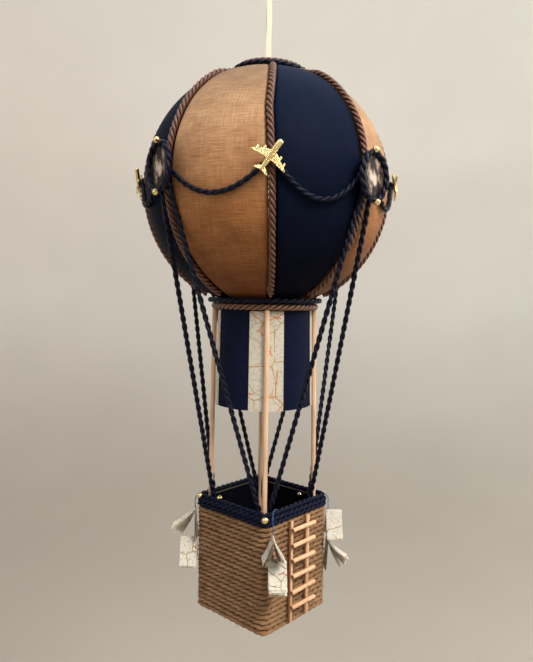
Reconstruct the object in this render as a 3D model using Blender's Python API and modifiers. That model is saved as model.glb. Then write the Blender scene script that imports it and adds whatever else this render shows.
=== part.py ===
"""A handmade hanging hot air balloon: a fabric covered ball over a twine wrapped basket.

Units are metres and +Z is up. The origin is the top of the ribbon's loop, where the model hangs.
Azimuth is measured in degrees from -Y towards +X. The ladder is on the basket's -Y face.
"""

import math

import bmesh
import bpy
from mathutils import Matrix, Vector

MM = 0.001
GAP = 0.3 * MM  # between pieces that touch

# The ball
HANG_RISE = 135 * MM  # loop top above the ball's centre
BALL_R = 75 * MM
SHELL = 10 * MM
FLATTENED = 0.044  # how much lower the ball is at its very top, as a share of its radius
GORES = 8
GORE_COLOURS = ("fabric_navy", "fabric_tan")
GORE_STEPS = 4
POLAR_STEPS = 14
CROWN_POLAR = 12.5  # degrees from the pole to the edge of each gore
SEAM_HALF_GAP = 1.95 * MM
# Degrees that each seam sits off an even eighth of a turn
SEAM_STEPS = (-2.5, -2.5, -2.5, -2.5, -2.5, -2.5, -3.5, -0.8)
CAP_GAP_POLAR = 0.35

# Twisted cords
NAVY_CORD_R = 1.5 * MM
BROWN_CORD_R = 1.85 * MM
GARLAND_R = 1.45 * MM
SEAM_CENTRE_R = BALL_R + 0.9 * MM
SEAM_TOP_POLAR = 22.0
SEAM_BOTTOM_POLAR = 151.7
RING_SEGMENTS = 24

# Crown and mouth rings: name, material, ring radius, height, cord radius
RINGS = (
    ("crown_ring_navy", "cord_navy", 23.2 * MM, 70.46 * MM, NAVY_CORD_R),
    ("crown_ring_brown", "cord_brown", 20.3 * MM, 72.2 * MM, NAVY_CORD_R),
    ("mouth_ring_navy", "cord_navy", 34.3 * MM, -69.3 * MM, NAVY_CORD_R),
    ("mouth_ring_brown", "cord_brown", 31.6 * MM, -73.5 * MM, BROWN_CORD_R),
)

# The skirt under the ball, and its map strips
SKIRT_TOP_R = 29.0 * MM
SKIRT_BOTTOM_R = 30.3 * MM
SKIRT_WALL = 1.2 * MM
SKIRT_BOTTOM_Z = -135.7 * MM
SKIRT_STEPS = 36
STRIP_ANGLE = 40.0
STRIP_THICK = 0.3 * MM
STRIP_TOP_Z = -76.2 * MM

# Corners of the basket and the medallions between them
CORNERS = (("front_left", -45.0), ("front_right", 45.0), ("back_right", 135.0), ("back_left", -135.0))
CORNER_SEAMS = {"front_left": -45.8, "front_right": 42.5, "back_right": 132.5, "back_left": -137.5}
# Medallions: name, azimuth of the seam under it, degrees it sits to the side of that seam,
# height of its centre above the ball's
MEDALLIONS = (
    ("front", -2.5, 1.9, -1.1 * MM),
    ("right", 87.5, 0.0, 1.2 * MM),
    ("back", 177.5, 0.0, 1.2 * MM),
    ("left", -93.5, -2.0, 1.9 * MM),
)
MEDALLION_HALF_W = 10.2 * MM
MEDALLION_HALF_H = 12.8 * MM
FRAME_CORD_R = 1.7 * MM
FRAME_CENTRE_R = 82.0 * MM
CARD_THICK = 1.0 * MM
CARD_MARGIN = FRAME_CORD_R + 0.4 * MM

# The garland, from medallion to plane to medallion: corner, the two medallions, sag of each half
GARLANDS = (
    ("front_left", "left", "front", 14.6 * MM, 18.3 * MM),
    ("front_right", "front", "right", 17.0 * MM, 17.0 * MM),
    ("back_right", "right", "back", 17.0 * MM, 17.0 * MM),
    ("back_left", "back", "left", 17.0 * MM, 17.0 * MM),
)
SWAG_PLANE_Z = 4.5 * MM
SWAG_END_Z = 0.8 * MM
SWAG_CENTRE_R = BALL_R + GARLAND_R + 0.2 * MM
SWAG_POINTS = 13  # along each half
SWAG_LIFT_HALF = 7 * MM
SWAG_LIFT = SEAM_CENTRE_R + BROWN_CORD_R + GAP + GARLAND_R - SWAG_CENTRE_R

# The aeroplane charms
PLANE_Z = 3.4 * MM
PLANE_SIDE = -0.5  # degrees to the side of the seam
PLANE_THICK = 1.1 * MM
PLANE_BACK = SWAG_CENTRE_R + SWAG_LIFT + GARLAND_R + GAP
PLANE_TURN = 35.0  # nose to the right of straight up

# The basket: a card box with twine round it, so its top edge is a step of bare card
BASKET_HALF = 31.0 * MM
BASKET_CORNER_R = 6.0 * MM
CARD_CORNER_R = 3.6 * MM
BASKET_TOP_Z = -202.8 * MM
BASKET_BOTTOM_Z = -268.3 * MM
CARD_TOP_Z = -197.6 * MM
CARD_HALF = 28.3 * MM
CARD_INNER_HALF = 27.3 * MM
CARD_INNER_CORNER_R = 3.0 * MM
BASE_THICK = 2.5 * MM
LINING_THICK = 0.8 * MM
LINING_HALF = CARD_INNER_HALF - GAP
LINING_CORNER_R = CARD_INNER_CORNER_R - GAP

# The rim's three rows of cord: the middle of each, two outside the card and one on its edge
RIM_HALF = 30.1 * MM
RIM_LOW_Z = -201.0 * MM
RIM_HIGH_Z = -198.3 * MM
RIM_EDGE_HALF = 28.9 * MM

# Dowels from the skirt to the basket's inner corners
DOWEL_R = 1.5 * MM
DOWEL_TOP = (31.75 * MM, -75.6 * MM)
DOWEL_BOTTOM = (34.2 * MM, BASKET_BOTTOM_Z + BASE_THICK + LINING_THICK + 2 * GAP)

# Stays: a cord over the seam behind each medallion, with an end in each corner beside it
STAY_CENTRE_R = BALL_R + NAVY_CORD_R + 0.25 * MM
STAY_OVER_SEAM_R = SEAM_CENTRE_R + BROWN_CORD_R + GAP + NAVY_CORD_R
CARD_BACK = STAY_OVER_SEAM_R + NAVY_CORD_R + GAP
STAY_START = 5.0 * MM  # below the medallion's centre
# Where each leg lies on the ball after that: azimuth off the seam and polar angle, in degrees
STAY_ROUTE = ((3.1, 101.5), (4.1, 107.0))
STAY_ARCH = (15, 45, 72)  # turns round the seam cord, in degrees
STAY_END_RADIUS = 31.3 * MM
STAY_END_SIDE = 3.15 * MM
STAY_RIM_Z = -196.0 * MM
STAY_END_Z = -206.0 * MM

# Ladder on the -Y face
STICK_R = 1.3 * MM
RAIL_TOP_Z = -202.3 * MM
RAIL_BOTTOM_Z = -265.3 * MM
RAIL_X = (-9.2 * MM, 6.5 * MM)
RUNG_X = (-10.4 * MM, 11.4 * MM)
RUNG_COUNT = 6
RUNG_TOP_Z = -207.8 * MM
RUNG_STEP = 9.6 * MM
LADDER_OUT = BASKET_HALF + GAP + STICK_R
RUNG_OUT = LADDER_OUT + 2.2 * MM
STICK_SIDES = 10

# Paper bundles: two packs of folded strips on a thread at each corner
THREAD_R = 0.5 * MM
THREAD_TOP_Z = -198.5 * MM
PACK_WIDTH = 10.5 * MM
PACK_THICK = 1.6 * MM
THREAD_OUT = math.sqrt(2) * (BASKET_HALF - BASKET_CORNER_R) + BASKET_CORNER_R + GAP + PACK_THICK
PACK_LEG = 17.5 * MM
RADIAL_SPREADS = (0, 38)  # degrees from straight down of a pack's two legs
FLAT_SPREADS = (26, 26)
THREAD_SIDES = 8
# Corner, whether the upper pack's legs point away from the basket (the lower pack's then don't,
# and the other way round), side step of the thread, and each fold's distance down the thread
BUNDLES = (
    ("front_left", False, 4.5 * MM, 9.0 * MM, 24.0 * MM),
    ("front_right", False, 0.0, 8.0 * MM, 28.0 * MM),
    ("back_right", False, 0.0, 9.0 * MM, 24.0 * MM),
    ("back_left", True, 0.0, 8.0 * MM, 27.0 * MM),
)

# The ribbon
RIBBON_WIDTH = 3.7 * MM
RIBBON_THICK = 0.8 * MM
RIBBON_TURN = 45.0  # the loop's face, in azimuth, so that the stem's face looks to the front corner
LOOP_HALF_W = 4.0 * MM
LOOP_HALF_H = 8.0 * MM
LOOP_STEPS = 16
LOOP_MOUTH = 16  # degrees of the loop that open into the stem

COLOURS = {
    # name: colour, roughness, metallic
    "fabric_navy": ((0.012, 0.020, 0.045), 0.8, 0.0),
    "fabric_tan": ((0.36, 0.22, 0.12), 0.6, 0.0),
    "cord_brown": ((0.12, 0.05, 0.025), 0.5, 0.0),
    "cord_navy": ((0.010, 0.013, 0.035), 0.5, 0.0),
    "map_paper": ((0.72, 0.68, 0.58), 0.8, 0.0),
    "photo_card": ((0.28, 0.24, 0.22), 0.5, 0.0),
    "gold": ((0.80, 0.58, 0.22), 0.25, 1.0),
    "wood": ((0.65, 0.45, 0.28), 0.6, 0.0),
    "jute": ((0.25, 0.14, 0.07), 0.9, 0.0),
    "ribbon": ((0.75, 0.66, 0.52), 0.4, 0.0),
}


def clear_scene():
    for obj in list(bpy.data.objects):
        bpy.data.objects.remove(obj, do_unlink=True)


def make_materials():
    made = {}
    for name, (colour, roughness, metallic) in COLOURS.items():
        material = bpy.data.materials.new(name)
        material.use_nodes = True
        shader = material.node_tree.nodes["Principled BSDF"]
        shader.inputs["Base Color"].default_value = (*colour, 1)
        shader.inputs["Roughness"].default_value = roughness
        shader.inputs["Metallic"].default_value = metallic
        made[name] = material
    return made


clear_scene()
MATERIALS = make_materials()
PARTS = bpy.data.collections.new("hot_air_balloon")
CUTTERS = bpy.data.collections.new("balloon_cutters")
for group in (PARTS, CUTTERS):
    bpy.context.scene.collection.children.link(group)

BALL_CENTRE = bpy.data.objects.new("ball_centre", None)
BALL_CENTRE.location = (0, 0, -HANG_RISE)
PARTS.objects.link(BALL_CENTRE)


def add(name, data, material, parent=BALL_CENTRE):
    """An object of this mesh or curve, named as its node."""
    obj = bpy.data.objects.new(name, data)
    data.materials.clear()
    data.materials.append(MATERIALS[material])
    PARTS.objects.link(obj)
    obj.parent = parent
    return obj


def as_cutter(obj):
    """Keeps an object as a shape that others are joined with or cut by."""
    PARTS.objects.unlink(obj)
    CUTTERS.objects.link(obj)
    obj.hide_render = True
    obj.display_type = "WIRE"
    return obj


def mesh_from(bm, name, smooth=True):
    mesh = bpy.data.meshes.new(name)
    bmesh.ops.recalc_face_normals(bm, faces=bm.faces[:])
    bm.to_mesh(mesh)
    bm.free()
    if smooth:
        mesh.shade_smooth()
        mesh.set_sharp_from_angle(angle=math.radians(40))
    return mesh


def around(azimuth, radius, z=0.0, side=0.0):
    """A point at this azimuth and radius, stepped sideways along the tangent."""
    a = math.radians(azimuth)
    out = Vector((math.sin(a), -math.cos(a), 0))
    across = Vector((math.cos(a), math.sin(a), 0))
    return out * radius + across * side + Vector((0, 0, z))


def on_ball(azimuth, polar, radius):
    p = math.radians(polar)
    height = math.cos(p)
    return around(azimuth, radius * math.sin(p), radius * height * (1 - FLATTENED * max(0, height) ** 2))


def polar_range(start, end, steps):
    return [start + (end - start) * i / steps for i in range(steps + 1)]


def tube(name, points, radius, material, cyclic=False, resolution=1, parent=BALL_CENTRE):
    """A round bar along these points."""
    curve = bpy.data.curves.new(name, "CURVE")
    curve.dimensions = "3D"
    curve.bevel_depth = radius
    curve.bevel_resolution = resolution
    curve.use_fill_caps = True
    spline = curve.splines.new("POLY")
    spline.points.add(len(points) - 1)
    for target, point in zip(spline.points, points):
        target.co = (*point, 1)
    spline.use_cyclic_u = cyclic
    return add(name, curve, material, parent)


def turned(name, profile, material, steps):
    """A profile of (radius, height) points, outer side first from the top down, turned about Z."""
    bm = bmesh.new()
    verts = [bm.verts.new((radius, 0, z)) for radius, z in profile]
    on_axis = profile[0][0] == 0
    pairs = list(zip(verts, verts[1:])) + ([] if on_axis else [(verts[-1], verts[0])])
    for pair in pairs:
        bm.edges.new(pair)
    mesh = bpy.data.meshes.new(name)
    bm.to_mesh(mesh)
    bm.free()
    obj = add(name, mesh, material)
    screw = obj.modifiers.new("turn", "SCREW")
    screw.steps = screw.render_steps = steps
    screw.use_merge_vertices = on_axis
    screw.merge_threshold = 0.00005
    return obj


# The ball: eight gores, the crown and base caps, and the seam cords


def seam_azimuth(index):
    return 360 / GORES * index + SEAM_STEPS[index % GORES]


def make_gore(index):
    """A ring sector spun through the gore's angle, its sides cut back beside the seams."""
    start, end = seam_azimuth(index), seam_azimuth(index + 1)
    polars = polar_range(CROWN_POLAR, 180 - CROWN_POLAR, POLAR_STEPS)
    outline = [on_ball(start, p, BALL_R) for p in polars]
    outline += [on_ball(start, p, BALL_R - SHELL) for p in reversed(polars)]
    bm = bmesh.new()
    face = bm.faces.new([bm.verts.new(p) for p in outline])
    bmesh.ops.spin(
        bm, geom=[face, *face.edges, *face.verts], axis=(0, 0, 1), cent=(0, 0, 0),
        angle=math.radians(end - start), steps=GORE_STEPS, use_duplicate=False,
    )
    for azimuth, inward in ((start, 1), (end, -1)):
        across = around(azimuth, 0, 0, inward)
        cut = bmesh.ops.bisect_plane(
            bm, geom=[*bm.verts, *bm.edges, *bm.faces],
            plane_co=across * SEAM_HALF_GAP, plane_no=across, clear_inner=True,
        )
        edges = [item for item in cut["geom_cut"] if isinstance(item, bmesh.types.BMEdge)]
        bmesh.ops.contextual_create(bm, geom=edges)
    name = f"gore_{index + 1}"
    add(name, mesh_from(bm, name), GORE_COLOURS[(index + 1) % 2])


def make_caps():
    edge = CROWN_POLAR - CAP_GAP_POLAR
    for name, sign, material in (("crown_cap", 1, "fabric_navy"), ("base_cap", -1, "fabric_navy")):
        polars = polar_range(0, edge, 3)
        places = [(BALL_R, p) for p in polars] + [(BALL_R - SHELL, edge), (BALL_R - SHELL, 0)]
        points = [on_ball(90, p if sign > 0 else 180 - p, r) for r, p in places]
        arc = [(point.x, point.z) for point in points]
        if sign < 0:
            arc.reverse()
        turned(name, arc, material, RING_SEGMENTS)


def make_seams():
    polars = polar_range(SEAM_TOP_POLAR, SEAM_BOTTOM_POLAR, POLAR_STEPS)
    for index in range(GORES):
        points = [on_ball(seam_azimuth(index), p, SEAM_CENTRE_R) for p in polars]
        tube(f"seam_cord_{index + 1}", points, BROWN_CORD_R, "cord_brown")


def make_rings():
    for name, material, radius, z, cord_radius in RINGS:
        points = [around(360 * i / RING_SEGMENTS, radius, z) for i in range(RING_SEGMENTS)]
        tube(name, points, cord_radius, material, cyclic=True)


# The skirt and the map strips glued to it


def skirt_radius(z):
    top = skirt_top_z(SKIRT_TOP_R)
    return SKIRT_TOP_R + (SKIRT_BOTTOM_R - SKIRT_TOP_R) * (z - top) / (SKIRT_BOTTOM_Z - top)


def skirt_top_z(radius):
    """Where the skirt's wall meets the ball."""
    return -math.sqrt((BALL_R + GAP) ** 2 - radius**2)


def make_skirt():
    inner_top = SKIRT_TOP_R - SKIRT_WALL
    profile = (
        (SKIRT_TOP_R, skirt_top_z(SKIRT_TOP_R)),
        (SKIRT_BOTTOM_R, SKIRT_BOTTOM_Z),
        (SKIRT_BOTTOM_R - SKIRT_WALL, SKIRT_BOTTOM_Z),
        (inner_top, skirt_top_z(inner_top)),
    )
    turned("skirt", profile, "fabric_navy", SKIRT_STEPS)


def make_map_strips():
    inset = GAP - 0.05 * MM
    for name, azimuth in CORNERS:
        bm = bmesh.new()
        start = azimuth - STRIP_ANGLE / 2
        outline = [
            around(start, skirt_radius(z) + off, z)
            for z, off in (
                (STRIP_TOP_Z, inset), (STRIP_TOP_Z, inset + STRIP_THICK),
                (SKIRT_BOTTOM_Z, inset + STRIP_THICK), (SKIRT_BOTTOM_Z, inset),
            )
        ]
        face = bm.faces.new([bm.verts.new(p) for p in outline])
        bmesh.ops.spin(
            bm, geom=[face, *face.edges, *face.verts], axis=(0, 0, 1), cent=(0, 0, 0),
            angle=math.radians(STRIP_ANGLE), steps=4, use_duplicate=False,
        )
        node = f"map_strip_{name}"
        add(node, mesh_from(bm, node), "map_paper")


# Medallions, garland, planes and stays round the ball


def make_medallions():
    for name, seam, side_step, height in MEDALLIONS:
        azimuth = seam + side_step
        points = []
        for i in range(RING_SEGMENTS):
            turn = math.tau * i / RING_SEGMENTS
            side = math.degrees(MEDALLION_HALF_W * math.cos(turn) / FRAME_CENTRE_R)
            rise = math.degrees((height + MEDALLION_HALF_H * math.sin(turn)) / FRAME_CENTRE_R)
            points.append(on_ball(azimuth + side, 90 - rise, FRAME_CENTRE_R))
        tube(f"medallion_frame_{name}", points, FRAME_CORD_R, "cord_navy", cyclic=True)

        bm = bmesh.new()
        bmesh.ops.create_cone(bm, cap_ends=True, segments=RING_SEGMENTS, radius1=1, radius2=1, depth=1)
        size = (MEDALLION_HALF_W - CARD_MARGIN, MEDALLION_HALF_H - CARD_MARGIN, CARD_THICK)
        bmesh.ops.scale(bm, vec=size, verts=bm.verts)
        card = add(f"medallion_card_{name}", mesh_from(bm, name, smooth=False), "photo_card")
        tilt = math.asin(height / BALL_R)
        card.rotation_euler = (math.pi / 2 - tilt, 0, math.radians(azimuth))
        card.location = on_ball(azimuth, 90 - math.degrees(tilt), CARD_BACK + CARD_THICK / 2)


def swag_point(seam, turn, end_turn, sag):
    """A point of the garland, turned from the seam where the plane is towards the medallion's edge."""
    along = turn / end_turn
    z = SWAG_PLANE_Z + (SWAG_END_Z - SWAG_PLANE_Z) * along - 4 * sag * along * (1 - along)
    radius = SWAG_CENTRE_R
    from_seam = abs(math.radians(turn)) * SWAG_CENTRE_R
    if from_seam < SWAG_LIFT_HALF:
        radius += SWAG_LIFT * math.cos(math.pi / 2 * from_seam / SWAG_LIFT_HALF) ** 2
    return on_ball(seam + turn, math.degrees(math.acos(z / radius)), radius)


def make_garland():
    centres = {name: seam + side_step for name, seam, side_step, _ in MEDALLIONS}
    half_turn = math.degrees(MEDALLION_HALF_W / SWAG_CENTRE_R)
    for name, before, after, sag_before, sag_after in GARLANDS:
        seam = CORNER_SEAMS[name]
        points = []
        for medallion, way, sag in ((before, -1, sag_before), (after, 1, sag_after)):
            end_turn = way * ((way * (centres[medallion] - seam)) % 360 - half_turn)
            half = [swag_point(seam, end_turn * i / SWAG_POINTS, end_turn, sag)
                    for i in range(SWAG_POINTS + 1)]
            points += half[:0:-1] if way < 0 else half
        tube(f"garland_{name}", points, GARLAND_R, "cord_navy")


# Half of the charm's outline, nose up, in millimetres: x, y
PLANE_HALF_OUTLINE = (
    (0.0, 9.4), (0.9, 9.0), (1.3, 7.8), (1.6, 3.6), (2.4, 2.7), (3.3, 3.1), (4.5, 3.0), (5.2, 1.5),
    (6.4, 1.7), (7.5, 1.2), (8.0, 0.0), (8.8, -0.2), (9.7, -1.6), (9.5, -2.8), (1.6, -1.9),
    (1.1, -6.6), (3.4, -7.5), (3.5, -9.1), (0.9, -8.8), (0.0, -9.1),
)


def make_planes():
    outline = list(PLANE_HALF_OUTLINE)
    outline += [(-x, y) for x, y in reversed(PLANE_HALF_OUTLINE[1:-1])]
    for name, azimuth in CORNER_SEAMS.items():
        curve = bpy.data.curves.new(f"plane_{name}", "CURVE")
        curve.dimensions = "2D"
        curve.fill_mode = "BOTH"
        curve.extrude = PLANE_THICK / 2
        spline = curve.splines.new("POLY")
        spline.points.add(len(outline) - 1)
        for target, (x, y) in zip(spline.points, outline):
            target.co = (x * MM, y * MM, 0, 1)
        spline.use_cyclic_u = True
        plane = add(f"plane_{name}", curve, "gold")
        face_out = (
            Matrix.Rotation(math.radians(azimuth + PLANE_SIDE), 4, "Z")
            @ Matrix.Rotation(math.pi / 2, 4, "X")
        )
        plane.matrix_local = (
            Matrix.Translation(around(azimuth + PLANE_SIDE, PLANE_BACK + PLANE_THICK / 2, PLANE_Z))
            @ face_out @ Matrix.Rotation(math.radians(-PLANE_TURN), 4, "Z")
        )


def stay_leg(azimuth, way, start_polar):
    """Over the seam cord, down the ball beside it and straight to the inner corner of the basket."""
    arch = STAY_OVER_SEAM_R - SEAM_CENTRE_R + 0.1 * MM
    points = []
    for turn in STAY_ARCH:
        side = math.degrees(way * arch * math.sin(math.radians(turn)) / BALL_R)
        radius = SEAM_CENTRE_R + arch * math.cos(math.radians(turn))
        points.append(on_ball(azimuth + side, start_polar + turn / 20, radius))
    points += [on_ball(azimuth + way * off, polar, STAY_CENTRE_R) for off, polar in STAY_ROUTE]
    corner = 90 * round(azimuth / 90) + way * 45
    for z in (STAY_RIM_Z, STAY_END_Z):
        points.append(around(corner, STAY_END_RADIUS, z, -way * STAY_END_SIDE))
    return points


def make_stays():
    for name, azimuth, _, height in MEDALLIONS:
        start = 90 + math.degrees((STAY_START - height) / STAY_OVER_SEAM_R)
        legs = [stay_leg(azimuth, way, start) for way in (-1, 1)]
        tube(f"stay_{name}", [*reversed(legs[0]), *legs[1]], NAVY_CORD_R, "cord_navy")


# Basket, rim and dowels


def rounded_square(half, corner_radius, steps=4):
    points = []
    for quarter in range(4):
        for i in range(steps + 1):
            turn = math.radians(90 * quarter + 90 * i / steps)
            sx, sy = ((1, 1), (-1, 1), (-1, -1), (1, -1))[quarter]
            inner = half - corner_radius
            points.append((sx * inner + corner_radius * math.cos(turn),
                           sy * inner + corner_radius * math.sin(turn)))
    return points


def square_loft(name, rings, material):
    """Rounded squares of (half size, corner radius, height) joined in order into a closed body."""
    bm = bmesh.new()
    loops = [
        [bm.verts.new((x, y, z)) for x, y in rounded_square(half, corner)]
        for half, corner, z in rings
    ]
    bm.faces.new(loops[0])
    bm.faces.new(loops[-1])
    for low, high in zip(loops, loops[1:]):
        for i in range(len(low)):
            j = (i + 1) % len(low)
            bm.faces.new((low[i], low[j], high[j], high[i]))
    return add(name, mesh_from(bm, name), material)


def make_basket():
    floor = BASKET_BOTTOM_Z + BASE_THICK
    square_loft("basket", (
        (BASKET_HALF, BASKET_CORNER_R, BASKET_BOTTOM_Z),
        (BASKET_HALF, BASKET_CORNER_R, BASKET_TOP_Z),
        (CARD_HALF, CARD_CORNER_R, BASKET_TOP_Z),
        (CARD_HALF, CARD_CORNER_R, CARD_TOP_Z),
        (CARD_INNER_HALF, CARD_INNER_CORNER_R, CARD_TOP_Z),
        (CARD_INNER_HALF, CARD_INNER_CORNER_R, floor),
    ), "jute")
    inner = LINING_HALF - LINING_THICK
    inner_corner = LINING_CORNER_R - LINING_THICK
    square_loft("basket_lining", (
        (LINING_HALF, LINING_CORNER_R, floor + GAP),
        (LINING_HALF, LINING_CORNER_R, CARD_TOP_Z),
        (inner, inner_corner, CARD_TOP_Z),
        (inner, inner_corner, floor + GAP + LINING_THICK),
    ), "fabric_navy")


def arc_points(x, z, start, end, steps):
    return [
        (x + NAVY_CORD_R * math.cos(math.radians(a)), z + NAVY_CORD_R * math.sin(math.radians(a)))
        for a in polar_range(start, end, steps)
    ]


def make_rim():
    """The three rows of cord, swept round as one body."""
    top = CARD_TOP_Z + GAP + NAVY_CORD_R
    section = arc_points(RIM_HALF, RIM_LOW_Z, -100, 50, 3)
    section += arc_points(RIM_HALF, RIM_HIGH_Z, -30, 40, 2)
    section += arc_points(RIM_EDGE_HALF, top, 0, 225, 5)
    section += [(CARD_HALF + GAP, CARD_TOP_Z + GAP), (CARD_HALF + GAP, RIM_LOW_Z - NAVY_CORD_R)]
    bm = bmesh.new()
    loops = []
    for half, z in section:
        corner = max(BASKET_CORNER_R + half - BASKET_HALF, 1 * MM)
        loops.append([bm.verts.new((x, y, z)) for x, y in rounded_square(half, corner)])
    for low_loop, high_loop in zip(loops, loops[1:] + loops[:1]):
        for i in range(len(low_loop)):
            j = (i + 1) % len(low_loop)
            bm.faces.new((low_loop[i], low_loop[j], high_loop[j], high_loop[i]))
    add("rim_cord", mesh_from(bm, "rim_cord"), "cord_navy")


def make_dowels():
    for name, azimuth in CORNERS:
        ends = [around(azimuth, *place) for place in (DOWEL_TOP, DOWEL_BOTTOM)]
        tube(f"dowel_{name}", ends, DOWEL_R, "wood", resolution=4)


def stick(name, start, end):
    """A round stick as a mesh, so that it can be joined to others."""
    bm = bmesh.new()
    along = Vector(end) - Vector(start)
    bmesh.ops.create_cone(
        bm, cap_ends=True, segments=STICK_SIDES, radius1=STICK_R, radius2=STICK_R, depth=along.length,
        matrix=Matrix.Translation((Vector(start) + Vector(end)) / 2)
        @ along.to_track_quat("Z", "Y").to_matrix().to_4x4(),
    )
    return add(name, mesh_from(bm, name), "wood")


def join(base, others):
    """Boolean unions of the base with each of the others, which become cutters."""
    for other in others:
        union = base.modifiers.new("join", "BOOLEAN")
        union.operation = "UNION"
        union.solver = "EXACT"
        union.object = as_cutter(other)


def make_ladder():
    rails = [
        stick(f"rail_{i}", (x, -LADDER_OUT, RAIL_BOTTOM_Z), (x, -LADDER_OUT, RAIL_TOP_Z))
        for i, x in enumerate(RAIL_X)
    ]
    rungs = []
    for i in range(RUNG_COUNT):
        z = RUNG_TOP_Z - i * RUNG_STEP
        rungs.append(stick(f"rung_{i + 1}", (RUNG_X[0], -RUNG_OUT, z), (RUNG_X[1], -RUNG_OUT, z)))
    rails[0].name = "ladder"
    join(rails[0], [rails[1], *rungs])


# The paper bundles, each on its own hinge


def make_pack(name, fold_z, radial, parent):
    """Folded strips, tied in the middle: two legs that hang from the fold. Radial legs lie against
    the basket and point away from it; the others spread along the rim."""
    outline = []
    for sign, spread in zip((-1, 1), RADIAL_SPREADS if radial else FLAT_SPREADS):
        a = math.radians(spread)
        tip = Vector((sign * math.sin(a), 0, -math.cos(a))) * PACK_LEG
        thick = Vector((sign * math.cos(a), 0, math.sin(a))) * PACK_THICK
        outline.append((thick, tip + thick, tip))
    (left, right) = outline
    points = [*left, Vector((0, 0, -PACK_THICK)), *reversed(right)]
    bm = bmesh.new()
    face = bm.faces.new([bm.verts.new(p + Vector((0, -PACK_WIDTH / 2, 0))) for p in points])
    made = bmesh.ops.extrude_face_region(bm, geom=[face])
    moved = [v for v in made["geom"] if isinstance(v, bmesh.types.BMVert)]
    bmesh.ops.translate(bm, vec=(0, PACK_WIDTH, 0), verts=moved)
    if radial:
        bmesh.ops.rotate(bm, matrix=Matrix.Rotation(math.radians(-90), 3, "Z"), verts=bm.verts)
    else:
        bmesh.ops.translate(bm, vec=(0, PACK_THICK - PACK_WIDTH / 2, 0), verts=bm.verts)
    bmesh.ops.translate(bm, vec=(0, 0, fold_z), verts=bm.verts)
    return add(name, mesh_from(bm, name, smooth=False), "map_paper", parent)


def make_bundles():
    azimuths = dict(CORNERS)
    for corner, upper_radial, side, upper_drop, lower_drop in BUNDLES:
        hinge = bpy.data.objects.new(f"hinge_{corner}", None)
        PARTS.objects.link(hinge)
        hinge.parent = BALL_CENTRE
        hinge.location = around(azimuths[corner], THREAD_OUT, THREAD_TOP_Z, side)
        hinge.rotation_euler = (0, 0, math.radians(azimuths[corner]))
        bm = bmesh.new()
        bmesh.ops.create_cone(
            bm, cap_ends=True, segments=THREAD_SIDES, radius1=THREAD_R, radius2=THREAD_R, depth=lower_drop,
            matrix=Matrix.Translation((0, 0, -lower_drop / 2)),
        )
        name = f"paper_bundle_{corner}"
        thread = add(name, mesh_from(bm, name), "map_paper", hinge)
        packs = [
            make_pack(f"{corner}_upper_pack", -upper_drop, upper_radial, hinge),
            make_pack(f"{corner}_lower_pack", -lower_drop, not upper_radial, hinge),
        ]
        join(thread, packs)


def make_ribbon():
    """A flat ribbon from the crown to its loop; the hook bears on the loop's inner top at the origin."""
    half = RIBBON_THICK / 2
    centre_z = HANG_RISE - LOOP_HALF_H
    foot = BALL_R * (1 - FLATTENED) + GAP
    outer = [(-half, foot)]
    for i in range(LOOP_STEPS + 1):
        turn = math.radians(-90 - LOOP_MOUTH / 2 - (360 - LOOP_MOUTH) * i / LOOP_STEPS)
        outer.append(((LOOP_HALF_W + 2 * half) * math.cos(turn),
                      centre_z + (LOOP_HALF_H + 2 * half) * math.sin(turn)))
    outer.append((half, foot))
    turns = [math.tau * i / LOOP_STEPS for i in range(LOOP_STEPS)]
    inner = [(LOOP_HALF_W * math.cos(t), centre_z + LOOP_HALF_H * math.sin(t)) for t in turns]
    curve = bpy.data.curves.new("ribbon", "CURVE")
    curve.dimensions = "2D"
    curve.fill_mode = "BOTH"
    curve.extrude = RIBBON_WIDTH / 2
    for points in (outer, inner):
        spline = curve.splines.new("POLY")
        spline.points.add(len(points) - 1)
        for target, (x, y) in zip(spline.points, points):
            target.co = (x, y, 0, 1)
        spline.use_cyclic_u = True
    ribbon = add("ribbon", curve, "ribbon")
    ribbon.rotation_euler = (math.pi / 2, 0, math.radians(RIBBON_TURN))


for number in range(GORES):
    make_gore(number)
make_caps()
make_seams()
make_rings()
make_skirt()
make_map_strips()
make_medallions()
make_garland()
make_planes()
make_stays()
make_basket()
make_rim()
make_dowels()
make_ladder()
make_bundles()
make_ribbon()
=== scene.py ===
import math
import random

import bmesh
import bpy
import numpy as np
from mathutils import Matrix, Vector, kdtree, noise


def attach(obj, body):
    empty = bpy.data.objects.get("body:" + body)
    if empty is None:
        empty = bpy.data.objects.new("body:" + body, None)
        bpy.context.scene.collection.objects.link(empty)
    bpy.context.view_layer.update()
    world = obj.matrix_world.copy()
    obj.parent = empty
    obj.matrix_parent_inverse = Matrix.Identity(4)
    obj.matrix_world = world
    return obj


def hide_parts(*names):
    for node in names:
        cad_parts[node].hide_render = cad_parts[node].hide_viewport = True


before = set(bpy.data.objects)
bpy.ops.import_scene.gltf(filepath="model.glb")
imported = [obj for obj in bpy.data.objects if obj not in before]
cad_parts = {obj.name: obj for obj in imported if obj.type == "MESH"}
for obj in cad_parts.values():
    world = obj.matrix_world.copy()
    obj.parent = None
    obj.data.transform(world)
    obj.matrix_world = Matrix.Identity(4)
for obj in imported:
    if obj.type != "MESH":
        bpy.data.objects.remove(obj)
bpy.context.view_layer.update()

mm = 0.001
ballRise = -0.135  # the ball's centre in the frame
ballRadius = 75 * mm
seamCentre = 75.9 * mm
flattened = 0.044  # how much lower the ball is at its very top
corners = {"front_left": -45, "front_right": 45, "back_right": 135, "back_left": -135}
cornerSeams = {"front_left": -45.8, "front_right": 42.5, "back_right": 132.5, "back_left": -137.5}


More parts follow.
